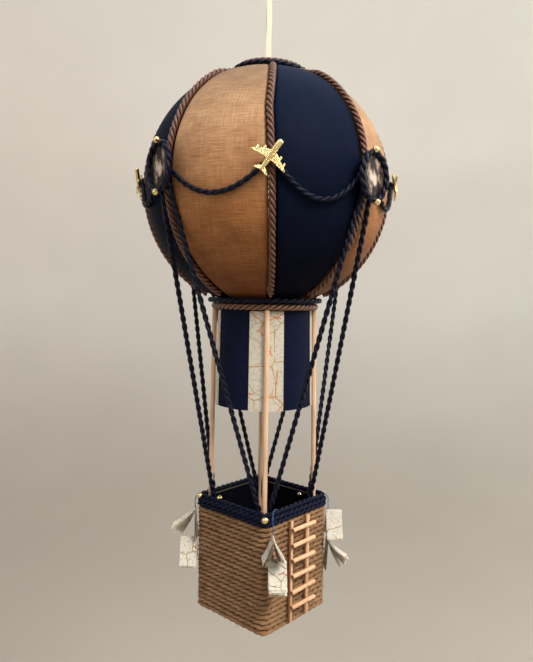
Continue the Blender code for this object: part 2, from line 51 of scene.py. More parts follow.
def around(azimuth, radius, z=0.0, side=0.0):
    a = math.radians(azimuth)
    out = Vector((math.sin(a), -math.cos(a), 0))
    across = Vector((math.cos(a), math.sin(a), 0))
    return out * radius + across * side + Vector((0, 0, z + ballRise))


def onBall(azimuth, polar, radius):
    p = math.radians(polar)
    height = math.cos(p)
    return around(azimuth, radius * math.sin(p), radius * height * (1 - flattened * max(0, height) ** 2))


# The seams were laid by hand: degrees off an even eighth of a turn, at these polar angles
seamPolars = (18, 40, 65, 90, 120, 152)
seamSteps = {0: (-2.5, -2.5, -2.3, -2.7, -2.5, -1.6), 6: (-2.5, -2.5, -2.6, -3.5, -4.6, -4.2),
             7: (2.6, 0.2, -1.9, -0.8, 0.2, 2.4)}
evenSteps = (-2.5,) * 6


def seamAt(index, polar):
    return 45 * index + float(np.interp(polar, seamPolars, seamSteps.get(index % 8, evenSteps)))


# Camera
view = {
    "place": (-0.2925, -0.2664, -0.2009), "turn": -47.676, "yaw": 0.0032, "pitch": -0.0598,
    "roll": 0.0148, "lens": 33.71, "sensor": 36,
}


def makeCamera():
    data = bpy.data.cameras.new("photoCamera")
    data.lens = view["lens"]
    data.sensor_width = view["sensor"]
    data.clip_start = 0.01
    camera = bpy.data.objects.new("photoCamera", data)
    bpy.context.scene.collection.objects.link(camera)
    turned = (
        Matrix.Rotation(math.radians(view["turn"]) - view["yaw"], 4, "Z")
        @ Matrix.Rotation(math.pi / 2 + view["pitch"], 4, "X")
        @ Matrix.Rotation(view["roll"], 4, "Z")
    )
    camera.matrix_world = Matrix.Translation(view["place"]) @ turned
    bpy.context.scene.camera = camera


makeCamera()
print("camera set")


# Shader helpers
def paint(r, g, b):  # a colour read off a screen, 0 to 255, as the shader's linear one
    def channel(value):
        c = value / 255
        return c / 12.92 if c <= 0.04045 else ((c + 0.055) / 1.055) ** 2.4
    return (channel(r), channel(g), channel(b), 1)


def addNode(tree, kind, inputs=None, **settings):  # an input is a value, or another node's output
    made = tree.nodes.new("ShaderNode" + kind)
    for key, value in settings.items():
        setattr(made, key, value)
    for key, value in (inputs or {}).items():
        if isinstance(value, bpy.types.NodeSocket):
            tree.links.new(value, made.inputs[key])
        else:
            made.inputs[key].default_value = value
    return made


def addRamp(tree, fac, *stops):
    made = addNode(tree, "ValToRGB", {"Fac": fac})
    elements = made.color_ramp.elements
    while len(elements) < len(stops):
        elements.new(0.5)
    for element, (place, colour) in zip(elements, stops):
        element.position = place
        element.color = colour if len(colour) == 4 else (*colour, 1)
    return made.outputs["Color"]


def grey(value):
    return (value, value, value, 1)


def addMix(tree, fac, a, b, blend="MIX"):  # inputs 6 and 7 are the node's two colours
    return addNode(tree, "Mix", {0: fac, 6: a, 7: b}, data_type="RGBA", blend_type=blend).outputs[2]


def addMath(tree, operation, a, b=0.0):
    return addNode(tree, "Math", {0: a, 1: b}, operation=operation).outputs[0]


def startMaterial(name, **sockets):
    material = bpy.data.materials.new(name)
    material.use_nodes = True
    shader = material.node_tree.nodes["Principled BSDF"]
    for key, value in sockets.items():
        shader.inputs[key.replace("_", " ")].default_value = value
    return material, material.node_tree, shader


def addBump(tree, shader, height, strength, distance):
    made = addNode(tree, "Bump", {"Height": height, "Strength": strength, "Distance": distance})
    tree.links.new(made.outputs["Normal"], shader.inputs["Normal"])


def startGroup(name, inputs, outputs):
    group = bpy.data.node_groups.new(name, "ShaderNodeTree")
    for label, kind, default in inputs:
        socket = group.interface.new_socket(label, in_out="INPUT", socket_type="NodeSocket" + kind)
        if default is not None:
            socket.default_value = default
    for label, kind in outputs:
        group.interface.new_socket(label, in_out="OUTPUT", socket_type="NodeSocket" + kind)
    return group, group.nodes.new("NodeGroupInput").outputs, group.nodes.new("NodeGroupOutput").inputs


def placeGroup(tree, group, inputs):
    return addNode(tree, "Group", inputs, node_tree=group).outputs


def objectPlace(tree):
    return addNode(tree, "TexCoord").outputs["Object"]


def uvPlace(tree):
    return addNode(tree, "TexCoord").outputs["UV"]


def stretched(tree, vector, scale=(1, 1, 1), shift=(0, 0, 0)):
    return addNode(tree, "Mapping", {"Vector": vector, "Scale": scale, "Location": shift}).outputs["Vector"]


def heightBetween(tree, low, high):  # 0 at the low height in the frame, 1 at the high one
    height = addNode(tree, "SeparateXYZ", {0: objectPlace(tree)}).outputs[2]
    return addNode(tree, "MapRange", {0: height, 1: low, 2: high, 3: 0.0, 4: 1.0}).outputs[0]


def addNoise(tree, vector, scale, detail=3.0, roughness=0.55):
    return addNode(tree, "TexNoise", {
        "Vector": vector, "Scale": scale, "Detail": detail, "Roughness": roughness,
    }).outputs["Fac"]


# Fine fibres that run along a strand: its UV map is in millimetres, round and along
def makeFibreGroup():
    group, given, out = startGroup(
        "strandFibres",
        [("Vector", "Vector", None), ("Around", "Float", 5.0), ("Along", "Float", 0.4), ("Slant", "Float", 0.3)],
        [("Fac", "Float"), ("Height", "Float")],
    )
    parts = addNode(group, "SeparateXYZ", {0: given["Vector"]}).outputs
    slanted = addMath(group, "ADD", parts[0], addMath(group, "MULTIPLY", parts[1], given["Slant"]))
    vector = addNode(group, "CombineXYZ", {
        0: addMath(group, "MULTIPLY", slanted, given["Around"]),
        1: addMath(group, "MULTIPLY", parts[1], given["Along"]),
    }).outputs[0]
    fine = addNoise(group, vector, 1.0, 4.0, 0.6)
    wide = addNoise(group, stretched(group, vector, (0.25, 0.3, 1)), 1.0, 2.0, 0.5)
    both = addMath(group, "ADD", addMath(group, "MULTIPLY", fine, 0.7),
                   addMath(group, "MULTIPLY", wide, 0.3))
    group.links.new(both, out["Fac"])
    group.links.new(fine, out["Height"])
    return group


# Threads that cross: the vector is in metres across the cloth
def makeWeaveGroup():
    group, given, out = startGroup(
        "clothWeave",
        [("Vector", "Vector", None), ("Threads", "Float", 3000.0), ("Slubs", "Float", 0.5)],
        [("Slub", "Float"), ("Height", "Float")],
    )
    level = addNoise(group, stretched(group, given["Vector"], (90, 1900, 1)), 1.0, 3.0, 0.6)
    upright = addNoise(group, stretched(group, given["Vector"], (1500, 70, 1), shift=(3, 7, 0)), 1.0, 3.0, 0.6)
    parts = addNode(group, "SeparateXYZ", {0: given["Vector"]}).outputs
    waves = [addMath(group, "SINE", addMath(group, "MULTIPLY", part, given["Threads"])) for part in parts[:2]]
    crossing = addMath(group, "MULTIPLY", *waves)
    slub = addMath(group, "ADD", addMath(group, "MULTIPLY", level, 0.62),
                   addMath(group, "MULTIPLY", upright, 0.38))
    height = addMath(group, "ADD", addMath(group, "MULTIPLY", slub, given["Slubs"]),
                     addMath(group, "MULTIPLY", crossing, 0.08))
    group.links.new(slub, out["Slub"])
    group.links.new(height, out["Height"])
    return group


fibreGroup = makeFibreGroup()
weaveGroup = makeWeaveGroup()


# Mesh helpers
def soften(bm, edges, offset, segments=2):
    bmesh.ops.bevel(bm, geom=edges, offset=offset, affect="EDGES", segments=segments, profile=0.5, material=-1)


def spinRound(bm, points, steps, closed=False, axis=(0, 0, 1)):  # a line of points through a full turn
    verts = [bm.verts.new(point) for point in points]
    edges = [bm.edges.new(pair) for pair in zip(verts, verts[1:] + (verts[:1] if closed else []))]
    bmesh.ops.spin(bm, geom=verts + edges, axis=axis, cent=(0, 0, 0), angle=math.tau, steps=steps, use_merge=True)


def finishMesh(bm, name, smoothAngle=None, turnOut=False):
    if turnOut:
        bmesh.ops.recalc_face_normals(bm, faces=bm.faces[:])
    mesh = bpy.data.meshes.new(name)
    bm.to_mesh(mesh)
    bm.free()
    if smoothAngle is not None:
        mesh.shade_smooth()
        if smoothAngle < 180:
            mesh.set_sharp_from_angle(angle=math.radians(smoothAngle))
    return mesh


def addPiece(name, mesh, material, body="root", replaces=()):
    piece = bpy.data.objects.new(name, mesh)
    bpy.context.scene.collection.objects.link(piece)
    mesh.materials.clear()
    for one in material if isinstance(material, (list, tuple)) else [material]:
        mesh.materials.append(one)
    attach(piece, body)
    if replaces:
        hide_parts(*replaces)
    return piece


def joinMeshes(name, meshes):  # one mesh from several, with their UV maps and attributes
    bm = bmesh.new()
    for mesh in meshes:
        bm.from_mesh(mesh)
        bpy.data.meshes.remove(mesh)
    return finishMesh(bm, name)


def evenPath(points, step, closed=False, smooth=True):
    points = np.array([tuple(p) for p in points], float)
    if smooth:  # a Catmull-Rom curve through the points
        guides = np.vstack([points[-1:], points, points[:2]]) if closed else np.vstack(
            [2 * points[:1] - points[1:2], points, 2 * points[-1:] - points[-2:-1]])
        t = np.linspace(0, 1, 24, endpoint=False)[:, None]
        pieces = []
        for a, b, c, d in zip(guides, guides[1:], guides[2:], guides[3:]):
            pieces.append(0.5 * (2 * b + (c - a) * t + (2 * a - 5 * b + 4 * c - d) * t**2
                                 + (3 * b - a - 3 * c + d) * t**3))
        points = np.vstack(pieces + ([] if closed else [points[-1:]]))
    if closed:
        points = np.vstack([points, points[:1]])
    lengths = np.linalg.norm(np.diff(points, axis=0), axis=1)
    along = np.concatenate([[0], np.cumsum(lengths)])
    count = max(2, int(round(along[-1] / step)))
    places = np.linspace(0, along[-1], count + 1)
    even = np.stack([np.interp(places, along, points[:, i]) for i in range(3)], 1)
    return (even[:-1] if closed else even), along[-1]


def sideways(path, closed, upright):  # two directions across a path at each of its points
    if closed:
        tangents = np.roll(path, -1, 0) - np.roll(path, 1, 0)
    else:
        tangents = np.gradient(path, axis=0)
    tangents /= np.linalg.norm(tangents, axis=1, keepdims=True)
    if upright is None:  # carried along without turning
        normal = np.cross(tangents[0], (0.3, 0.2, 0.9))
        normals = []
        for tangent in tangents:
            normal = normal - tangent * normal.dot(tangent)
            normal = normal / np.linalg.norm(normal)
            normals.append(normal)
        normals = np.array(normals)
    else:
        fromBall = path - np.array((0, 0, ballRise))
        reference = fromBall if upright == "ball" else np.array([upright] * len(path), float)
        normals = reference - tangents * np.sum(reference * tangents, 1, keepdims=True)
        normals /= np.linalg.norm(normals, axis=1, keepdims=True)
    return normals, np.cross(tangents, normals)


def tubeMesh(name, lines, radius, resolution=2, closed=False, radii=None):
    curve = bpy.data.curves.new(name, "CURVE")
    curve.dimensions = "3D"
    curve.bevel_depth = radius
    curve.bevel_resolution = resolution
    curve.use_fill_caps = True
    for index, line in enumerate(lines):
        spline = curve.splines.new("POLY")
        spline.points.add(len(line) - 1)
        spline.points.foreach_set("co", np.c_[line, np.ones(len(line))].astype(np.float32).ravel())
        if radii is not None:
            spline.points.foreach_set("radius", np.asarray(radii[index], np.float32))
        spline.use_cyclic_u = closed
    holder = bpy.data.objects.new(name, curve)
    mesh = bpy.data.meshes.new_from_object(holder)
    bpy.data.objects.remove(holder)
    bpy.data.curves.remove(curve)
    return mesh


def scaleUv(mesh, width, length):  # the curve's UV map is 0 to 1 round and along: now millimetres
    layer = mesh.uv_layers[0].uv
    values = np.empty(len(layer) * 2, np.float32)
    layer.foreach_get("vector", values)
    values = values.reshape(-1, 2) * (width / mm, length / mm)
    layer.foreach_set("vector", values.ravel())


# An attribute for the painted shade in the gaps between plies: how far out in the cord each point lies, 0 to 1
def addGroove(mesh, path, normals, binormals, radius):
    finder = kdtree.KDTree(len(path))
    for index, place in enumerate(path):
        finder.insert(place, index)
    finder.balance()
    nearest = [finder.find(vert.co)[1] for vert in mesh.vertices]
    offsets = np.array([vert.co for vert in mesh.vertices]) - path[nearest]
    out = np.hypot(np.sum(offsets * normals[nearest], 1), np.sum(offsets * binormals[nearest], 1)) / radius
    mesh.attributes.new("groove", "FLOAT", "POINT").data.foreach_set("value", out.astype(np.float32))


# Twisted cord: plies laid round a path, so that their slant reads as \ on an upright cord
def twistedMesh(name, points, cord, closed=False, upright=None, smooth=True, phase=0.0):
    step = cord["lead"] / cord["steps"]
    path, length = evenPath(points, step, closed, smooth)
    turns = length / cord["lead"]
    if closed:
        turns = max(1, round(turns))
    count = len(path)
    angles = phase - math.tau * turns * np.arange(count) / (count if closed else count - 1)
    normals, binormals = sideways(path, closed, upright)
    plyRadius = cord["radius"] * cord["share"]
    offset = cord["radius"] - plyRadius
    lines = []
    for ply in range(cord["plies"]):
        turn = (angles + math.tau * ply / cord["plies"])[:, None]
        lines.append(path + offset * (np.cos(turn) * normals + np.sin(turn) * binormals))
    mesh = tubeMesh(name, lines, plyRadius, cord["resolution"], closed)
    scaleUv(mesh, math.tau * plyRadius, length * 1.1)  # a ply is about a tenth longer than its cord
    addGroove(mesh, path, normals, binormals, cord["radius"])
    return mesh


def cordKind(radius, plies, lead, steps, share, resolution=2):
    return {"radius": radius * mm, "plies": plies, "lead": lead * mm, "steps": steps, "share": share,
            "resolution": resolution}


cords = {  # radius in mm, plies, mm to a full turn, points in each turn, a ply's share of the radius
    "brown": cordKind(1.95, 3, 11.6, 15, 0.475),
    "crownBrown": cordKind(1.55, 3, 10.5, 13, 0.48),
    "navy": cordKind(1.65, 2, 10.4, 13, 0.6),
    "frame": cordKind(1.95, 2, 10.8, 14, 0.62),
    "garland": cordKind(1.6, 2, 9.6, 13, 0.6),
    "rim": cordKind(1.6, 2, 8.8, 12, 0.6),
    "twine": cordKind(1.5, 2, 10.5, 10, 0.68),
    "thread": cordKind(0.3, 2, 2.2, 6, 0.6, resolution=1),
}


# Materials
def makeTanFabric():
    material, tree, shader = startMaterial("fabricTan", Roughness=0.55, Specular_IOR_Level=0.12)
    weave = placeGroup(tree, weaveGroup, {"Vector": uvPlace(tree), "Threads": 5200.0, "Slubs": 0.9})
    colour = addRamp(tree, weave["Slub"], (0.28, paint(134, 100, 70)), (0.44, paint(172, 134, 98)),
                     (0.58, paint(196, 160, 122)), (0.72, paint(168, 130, 94)))
    cloud = addNoise(tree, stretched(tree, uvPlace(tree), (55, 80, 1)), 1.0, 4.0, 0.65)
    blotch = addRamp(tree, cloud, (0.32, paint(196, 182, 172)), (0.62, paint(255, 251, 246)))
    # Painted shade by height: darker towards the bottom of the ball and a little darker at the very top
    shadeHeight = heightBetween(tree, ballRise - 0.075, ballRise + 0.06)
    paintedShade = addRamp(tree, shadeHeight, (0.0, paint(128, 88, 58)), (0.4, paint(230, 198, 168)),
                   (0.78, paint(252, 252, 255)), (1.0, paint(186, 186, 184)))
    colour = addMix(tree, 1.0, addMix(tree, 0.6, colour, blotch, "MULTIPLY"), paintedShade, "MULTIPLY")
    tree.links.new(colour, shader.inputs["Base Color"])
    addBump(tree, shader, weave["Height"], 0.5, 0.0004)
    return material


def makeNavyFabric(name, low, high, paintedShadeBelow=False):
    material, tree, shader = startMaterial(name, Roughness=0.55, Specular_IOR_Level=0.02)
    weave = placeGroup(tree, weaveGroup, {"Vector": uvPlace(tree), "Threads": 7400.0, "Slubs": 0.5})
    colour = addRamp(tree, weave["Slub"], (0.3, paint(*low)), (0.7, paint(*high)))
    if paintedShadeBelow:
        # Painted shade: darker towards the bottom of the ball
        shadeHeight = heightBetween(tree, ballRise - 0.07, ballRise + 0.05)
        shade = addRamp(tree, shadeHeight, (0.0, paint(190, 150, 150)), (0.5, paint(205, 200, 206)),
                        (0.85, paint(226, 228, 232)), (1.0, grey(1.0)))
        colour = addMix(tree, 1.0, colour, shade, "MULTIPLY")
    tree.links.new(colour, shader.inputs["Base Color"])
    addBump(tree, shader, weave["Height"], 0.3, 0.0002)
    return material


def makeCordMaterial(name, dark, mid, light, roughness, deep=0.3, **sockets):  # deep: how much light the painted shade leaves in the gaps
    material, tree, shader = startMaterial(name, Roughness=roughness, **sockets)
    fibres = placeGroup(tree, fibreGroup, {"Vector": uvPlace(tree), "Around": 5.0, "Along": 0.35, "Slant": 0.35})
    colour = addRamp(tree, fibres["Fac"], (0.3, paint(*dark)), (0.5, paint(*mid)), (0.7, paint(*light)))
    groove = addNode(tree, "Attribute", attribute_name="groove").outputs["Fac"]
    # Painted shade in the gaps between plies, darkest deep in them
    shade = addRamp(tree, groove, (0.5, grey(deep * deep)), (0.72, grey(deep * 1.6)), (0.9, grey(1.0)))
    tree.links.new(addMix(tree, 1.0, colour, shade, "MULTIPLY"), shader.inputs["Base Color"])
    addBump(tree, shader, fibres["Height"], 0.5, 0.0002)
    return material


tanFabric = makeTanFabric()
navyFabric = makeNavyFabric("fabricNavy", (13, 20, 36), (22, 32, 55), paintedShadeBelow=True)
skirtNavy = makeNavyFabric("skirtNavy", (14, 18, 35), (24, 29, 53))
brownSatin = makeCordMaterial("brownSatin", (66, 38, 25), (102, 66, 47), (156, 110, 84), 0.34,
                              deep=0.22, Specular_IOR_Level=0.4)
mouthSatin = makeCordMaterial("mouthSatin", (70, 40, 26), (118, 78, 56), (190, 146, 116), 0.3,
                              deep=0.18, Specular_IOR_Level=0.5)
rimSatin = makeCordMaterial("rimSatin", (3, 5, 14), (9, 14, 36), (32, 42, 80), 0.4, Specular_IOR_Level=0.08)
navySatin = makeCordMaterial("navySatin", (4, 6, 18), (10, 14, 34), (26, 34, 62), 0.36, Specular_IOR_Level=0.14)


# Floor, wall and lights
stageSize = {"floor": -1.0, "flat": 0.6, "reach": 3.2, "bend": 1.4, "height": 3.4}


def makeWallMaterial():  # painted light and shade: paler higher up, darker near the floor, and a little darker to one side
    material, tree, shader = startMaterial("paleWall", Roughness=0.9)
    colour = addRamp(tree, heightBetween(tree, -1.0, 0.6), (0.0, paint(173, 165, 153)),
                     (0.5, paint(219, 214, 205)), (1.0, paint(240, 235, 225)))
    faint = addRamp(tree, addNoise(tree, objectPlace(tree), 1.5, 2.0), (0.3, grey(0.93)), (0.7, grey(1.0)))
    colour = addMix(tree, 1.0, colour, faint, "MULTIPLY")
    parts = addNode(tree, "SeparateXYZ", {0: objectPlace(tree)}).outputs
    across = addMath(tree, "SUBTRACT", addMath(tree, "MULTIPLY", parts[0], 0.673),
                     addMath(tree, "MULTIPLY", parts[1], 0.739))
    side = addNode(tree, "MapRange", {0: across, 1: -1.5, 2: 1.5, 3: 0.0, 4: 1.0}).outputs[0]
    # Painted light: one side paler, the other a little darker
    paintedSideLight = addRamp(tree, side, (0.0, (0.795, 0.778, 0.77)), (1.0, (0.98, 1.0, 1.0)))
    tree.links.new(addMix(tree, 1.0, colour, paintedSideLight, "MULTIPLY"), shader.inputs["Base Color"])
    return material


def makeStage():
    s = stageSize
    bm = bmesh.new()
    corner = [(s["reach"] - s["bend"] * (1 - math.sin(a)), s["floor"] + s["bend"] * (1 - math.cos(a)))
              for a in np.linspace(0, math.pi / 2, 9)]
    profile = [(0, s["floor"]), (s["flat"], s["floor"]), *corner, (s["reach"], s["height"])]
    spinRound(bm, [(x, 0, z) for x, z in profile], 64)
    bmesh.ops.remove_doubles(bm, verts=bm.verts[:], dist=0.001)
    bmesh.ops.recalc_face_normals(bm, faces=bm.faces[:])
    bmesh.ops.reverse_faces(bm, faces=bm.faces[:])
    mesh = finishMesh(bm, "stage", 180)
    mesh.materials.append(makeWallMaterial())
    stage = bpy.data.objects.new("stage", mesh)
    bpy.context.scene.collection.objects.link(stage)


lights = {  # azimuth, distance, height, size, watts, colour
    "key": (-6, 1.4, 1.3, 0.8, 44, (1.0, 0.965, 0.92)),
    "side": (60, 1.8, 0.5, 1.0, 12, (1.0, 0.98, 0.95)),
    "fill": (-110, 1.8, 0.5, 1.2, 4, (0.92, 0.96, 1.0)),
}


def makeLights():
    for name, (azimuth, distance, height, size, watts, colour) in lights.items():
        data = bpy.data.lights.new(name + "Light", "AREA")
        data.shape = "DISK"
        data.size = size
        data.energy = watts
        data.color = colour
        lamp = bpy.data.objects.new(name + "Light", data)
        bpy.context.scene.collection.objects.link(lamp)
        lamp.location = around(azimuth, distance, height)
        aim = Vector((0, 0, -0.2)) - lamp.location
        lamp.rotation_euler = aim.to_track_quat("-Z", "Y").to_euler()
    world = bpy.data.worlds.new("room")
    world.use_nodes = True
    background = world.node_tree.nodes["Background"]
    background.inputs["Color"].default_value = (0.93, 0.95, 1.0, 1)
    background.inputs["Strength"].default_value = 1.5
    bpy.context.scene.world = world
    bpy.context.scene.view_settings.view_transform = "Standard"


makeStage()
makeLights()
print("stage and lights done")


# Ribbon: two layers of satin up to a knot, then open as the loop it hangs by
ribbon = {
    "width": 3.1 * mm, "layer": 0.3 * mm, "apart": 0.42 * mm, "foot": 71.9 * mm, "turn": 45,
    "stray": 0.15 * mm, "slip": 0.2 * mm, "sways": ((-1, 0.5), (1, -0.35)),
    "loopMiddle": 127 * mm, "loopHalfWidth": 4.4 * mm, "loopHalfHeight": 8.4 * mm, "loopThick": 0.4 * mm,
    "knot": 119.4 * mm, "knotSize": (1.15 * mm, 1.9 * mm, 0.5 * mm), "knotThick": 0.7 * mm,
    "seenFrom": 73.6, "seenTo": 118.6,  # the stem's part of the ribbon's length, in mm
}
bandEdge = ((-1, -0.7), (-0.5, -1.1), (0.5, -1.1), (1, -0.7), (1, 0.7), (0.5, 1.1), (-0.5, 1.1), (-1, 0.7))


def makeRibbonMaterial():
    material, tree, shader = startMaterial("ivorySatin", Roughness=0.34, Sheen_Weight=0.3)
    ribs = addNoise(tree, stretched(tree, objectPlace(tree), (900, 900, 9000)), 1.0, 2.0)
    tree.links.new(addRamp(tree, ribs, (0.3, paint(222, 205, 176)), (0.65, paint(246, 234, 210))),
                   shader.inputs["Base Color"])
    addBump(tree, shader, ribs, 0.25, 0.0001)
    return material


def bandMesh(name, routes, width):  # flat bands along points, each with its own wide direction
    bm = bmesh.new()
    for route, thick in routes:
        rows = []
        for i, (middle, wide) in enumerate(route):
            run = route[min(i + 1, len(route) - 1)][0] - route[max(i - 1, 0)][0]
            normal = run.cross(wide).normalized() * thick / 2
            edge = wide.normalized() * width / 2
            rows.append([bm.verts.new(middle + edge * s + normal * t) for s, t in bandEdge])
        loops = [[bm.edges.new(pair) for pair in zip(row, row[1:] + row[:1])] for row in rows]
        for low, high in zip(loops, loops[1:]):
            bmesh.ops.bridge_loops(bm, edges=low + high)
        for ring in (loops[0], loops[-1]):
            bmesh.ops.edgeloop_fill(bm, edges=ring)
    return finishMesh(bm, name, 50, turnOut=True)


def makeRibbon():
    r = ribbon
    wide = around(r["turn"], 1, -ballRise)
    across = around(r["turn"], 0, -ballRise, 1)
    routes = []
    top = r["loopMiddle"] - r["loopHalfHeight"] + 0.6 * mm
    for side, sway in r["sways"]:
        stem = []
        for i in range(45):
            t = i / 44
            x = side * r["apart"] / 2 + r["stray"] * math.sin(t * 5 + sway)
            slip = r["slip"] * side * math.sin(t * 7)
            point = across * x + wide * slip + Vector((0, 0, r["foot"] + (top - r["foot"]) * t + ballRise))
            stem.append((point, wide + across * sway * 0.12 * math.sin(t * math.pi)))
        routes.append((stem, r["layer"]))
    loop = []
    for i in range(41):
        turn = math.radians(-96 - 348 * i / 40)  # open by 12 degrees at the knot
        loop.append((across * r["loopHalfWidth"] * math.cos(turn)
                     + Vector((0, 0, r["loopMiddle"] + r["loopHalfHeight"] * math.sin(turn) + ballRise)), wide))
    routes.append((loop, r["loopThick"]))
    knot = []  # one turn of the ribbon round the stem
    halfAcross, halfWide, halfTall = r["knotSize"]
    for i in range(25):
        turn = math.tau * i / 24
        knot.append((across * halfAcross * math.cos(turn) + wide * halfWide * math.sin(turn)
                     + Vector((0, 0, r["knot"] + halfTall * math.sin(turn) + ballRise)), Vector((0, 0, 1))))
    routes.append((knot, r["knotThick"]))
    piece = addPiece("ribbon_satin", bandMesh("ribbon_satin", routes, r["width"]), makeRibbonMaterial(),
                     replaces=["ribbon"])
    path = [Vector((0, 0, z * mm + ballRise)) for z in np.linspace(r["seenFrom"], r["seenTo"], 20)]
    path += [place for place, _ in loop]


makeRibbon()
print("ribbon done")


# The ball: gores of cloth over foam, caps and seam cords
ball = {
    "foam": 9.7 * mm, "crownPolar": 12.5, "seamHalfGap": 1.95 * mm,
    "capPolar": 12.15, "lipPolar": 15.9, "lip": (0.95 * mm, 0.4 * mm),  # the lip's outside and underside
    "across": 22, "down": 60, "tuck": 1.2 * mm, "tuckWide": 1.6 * mm, "endSlope": 1.3 * mm, "held": 0.25 * mm,
    "puffCap": 0.7 * mm, "simFrames": 20, "pressure": 4.0,
}


def ballAngles(point):
    flat = math.hypot(point.x, point.y)
    return math.degrees(math.atan2(point.x, -point.y)), math.degrees(math.atan2(flat, point.z - ballRise))


def easeIn(t):  # 0 to 1, smooth at both ends
    t = max(0.0, min(1.0, t))
    return t * t * (3 - 2 * t)


def goreMesh(index):  # an arc spun through the gore's angle, its sides tucked in beside the seams
    b = ball
    bm = bmesh.new()
    uv = bm.loops.layers.uv.new("UVMap")
    polars = np.linspace(b["crownPolar"], 180 - b["crownPolar"], b["down"] + 1)
    verts = [bm.verts.new((ballRadius * math.sin(p), 0, ballRadius * math.cos(p) + ballRise))
             for p in np.radians(polars)]
    edges = [bm.edges.new(pair) for pair in zip(verts, verts[1:])]
    bmesh.ops.spin(bm, geom=verts + edges, axis=(0, 0, 1), cent=(0, 0, ballRise),
                   angle=math.radians(45), steps=b["across"])
    flatPlace, tucked = {}, {}
    for vert in bm.verts:
        polar = math.degrees(math.acos(max(-1, min(1, (vert.co.z - ballRise) / ballRadius))))
        share = math.cos(math.pi * math.degrees(math.atan2(vert.co.y, vert.co.x)) / 45)
        start, end = seamAt(index, polar), seamAt(index + 1, polar)
        flat = ballRadius * math.sin(math.radians(polar))
        half = (end - start) / 2 - math.degrees(math.asin(b["seamHalfGap"] / flat))
        edge = min((1 - abs(share)) * flat * math.radians(half), (polar - b["crownPolar"]) * b["endSlope"],
                   (180 - b["crownPolar"] - polar) * b["endSlope"])
        sunk = b["tuck"] * (1 - easeIn(edge / b["tuckWide"])) ** 2
        vert.co = onBall((start + end) / 2 - half * share, polar, ballRadius - sunk)
        flatPlace[vert] = (-flat * math.radians(22.5) * share + 0.31 * index, -ballRadius * math.radians(polar))
        tucked[vert] = sunk
    for face in bm.faces:
        for loop in face.loops:
            loop[uv].uv = flatPlace[loop.vert]
    bmesh.ops.recalc_face_normals(bm, faces=bm.faces[:])
    if sum((f.calc_center_median() - Vector((0, 0, ballRise))).dot(f.normal) for f in bm.faces) < 0:
        bmesh.ops.reverse_faces(bm, faces=bm.faces[:])
    bmesh.ops.solidify(bm, geom=bm.faces[:], thickness=b["foam"])
    bm.verts.index_update()
    pins = [tucked.get(vert, 1) > b["held"] for vert in bm.verts]
    return finishMesh(bm, f"gore_cloth_{index + 1}", 180), pins


def placesOf(mesh):
    places = np.empty(len(mesh.vertices) * 3, np.float32)
    mesh.vertices.foreach_get("co", places)
    return places.reshape(-1, 3)


def outward(places):
    out = places - np.array((0, 0, ballRise))
    return out / np.linalg.norm(out, axis=1, keepdims=True)


def swell(mesh, pins):  # how far the cloth swells over the foam, held along its tucked edges
    b = ball
    scene = bpy.context.scene
    cloth = bpy.data.objects.new("goreCloth", mesh)
    scene.collection.objects.link(cloth)
    group = cloth.vertex_groups.new(name="held")
    group.add([i for i, pin in enumerate(pins) if pin], 1.0, "REPLACE")
    sim = cloth.modifiers.new("swell", "CLOTH")
    sim.settings.vertex_group_mass = "held"
    sim.settings.use_pressure = True
    sim.settings.uniform_pressure_force = b["pressure"]
    sim.settings.effector_weights.gravity = 0
    sim.settings.quality = 6
    sim.settings.tension_stiffness = sim.settings.compression_stiffness = 25
    sim.settings.bending_stiffness = 2
    for number in range(1, b["simFrames"] + 1):
        scene.frame_set(number)
    swollen = cloth.evaluated_get(bpy.context.evaluated_depsgraph_get()).to_mesh()
    before, after = placesOf(mesh), placesOf(swollen)
    cloth.to_mesh_clear()
    bpy.data.objects.remove(cloth)
    scene.frame_set(1)
    rise = np.sum((after - before) * outward(before), 1)
    print("swell before the cap, mm:", round(float(rise.max()) * 1000, 2), round(float(rise.min()) * 1000, 2))
    rise = np.clip(rise, 0, None)
    return rise / max(float(rise.max()), 1e-9) * min(float(rise.max()), b["puffCap"])


def makeGores():
    rise = None
    for index in range(8):
        mesh, pins = goreMesh(index)
        rise = swell(mesh, pins) if rise is None else rise
        places = placesOf(mesh)
        mesh.vertices.foreach_set("co", (places + outward(places) * rise[:, None]).astype(np.float32).ravel())
        mesh.update()
        fabric, slot = ((tanFabric, "fabric_tan"), (navyFabric, "fabric_navy"))[index % 2]
        piece = addPiece(mesh.name, mesh, fabric, replaces=[f"gore_{index + 1}"])


def turnedMesh(name, profile, steps):  # (radius, height) points, closed unless they start on the axis
    bm = bmesh.new()
    spinRound(bm, [(x, 0, z + ballRise) for x, z in profile], steps, closed=profile[0][0] != 0)
    bmesh.ops.remove_doubles(bm, verts=bm.verts[:], dist=0.00001)
    return finishMesh(bm, name, 40, turnOut=True)


def roundUv(mesh):  # a UV map in metres: round Z, and down the ball
    layer = mesh.uv_layers.new(name="UVMap")
    for polygon in mesh.polygons:
        for index in polygon.loop_indices:
            point = mesh.vertices[mesh.loops[index].vertex_index].co
            azimuth, polar = ballAngles(point)
            layer.data[index].uv = (point.x, point.y) if polar < 30 or polar > 165 else (
                math.radians(azimuth) * math.hypot(point.x, point.y), point.z)


def makeCaps():  # each has a thin lip that lies over the ends of the gores
    b = ball
    high, low = b["lip"]
    for name, isTop in (("crown_cap", True), ("base_cap", False)):
        route = [(p, ballRadius + high * easeIn((p - 8) / 4)) for p in np.linspace(0, b["lipPolar"], 14)]
        route += [(b["lipPolar"], ballRadius + low), (b["capPolar"], ballRadius + low),
                  (b["capPolar"], ballRadius - b["foam"])]
        spots = [onBall(90, p if isTop else 180 - p, radius) for p, radius in route]
        arc = [(spot.x, spot.z - ballRise) for spot in spots]
        arc.append((0, arc[-1][1]))
        mesh = turnedMesh(name + "_cloth", arc, 48)
        roundUv(mesh)
        addPiece(name + "_cloth", mesh, navyFabric, replaces=[name])


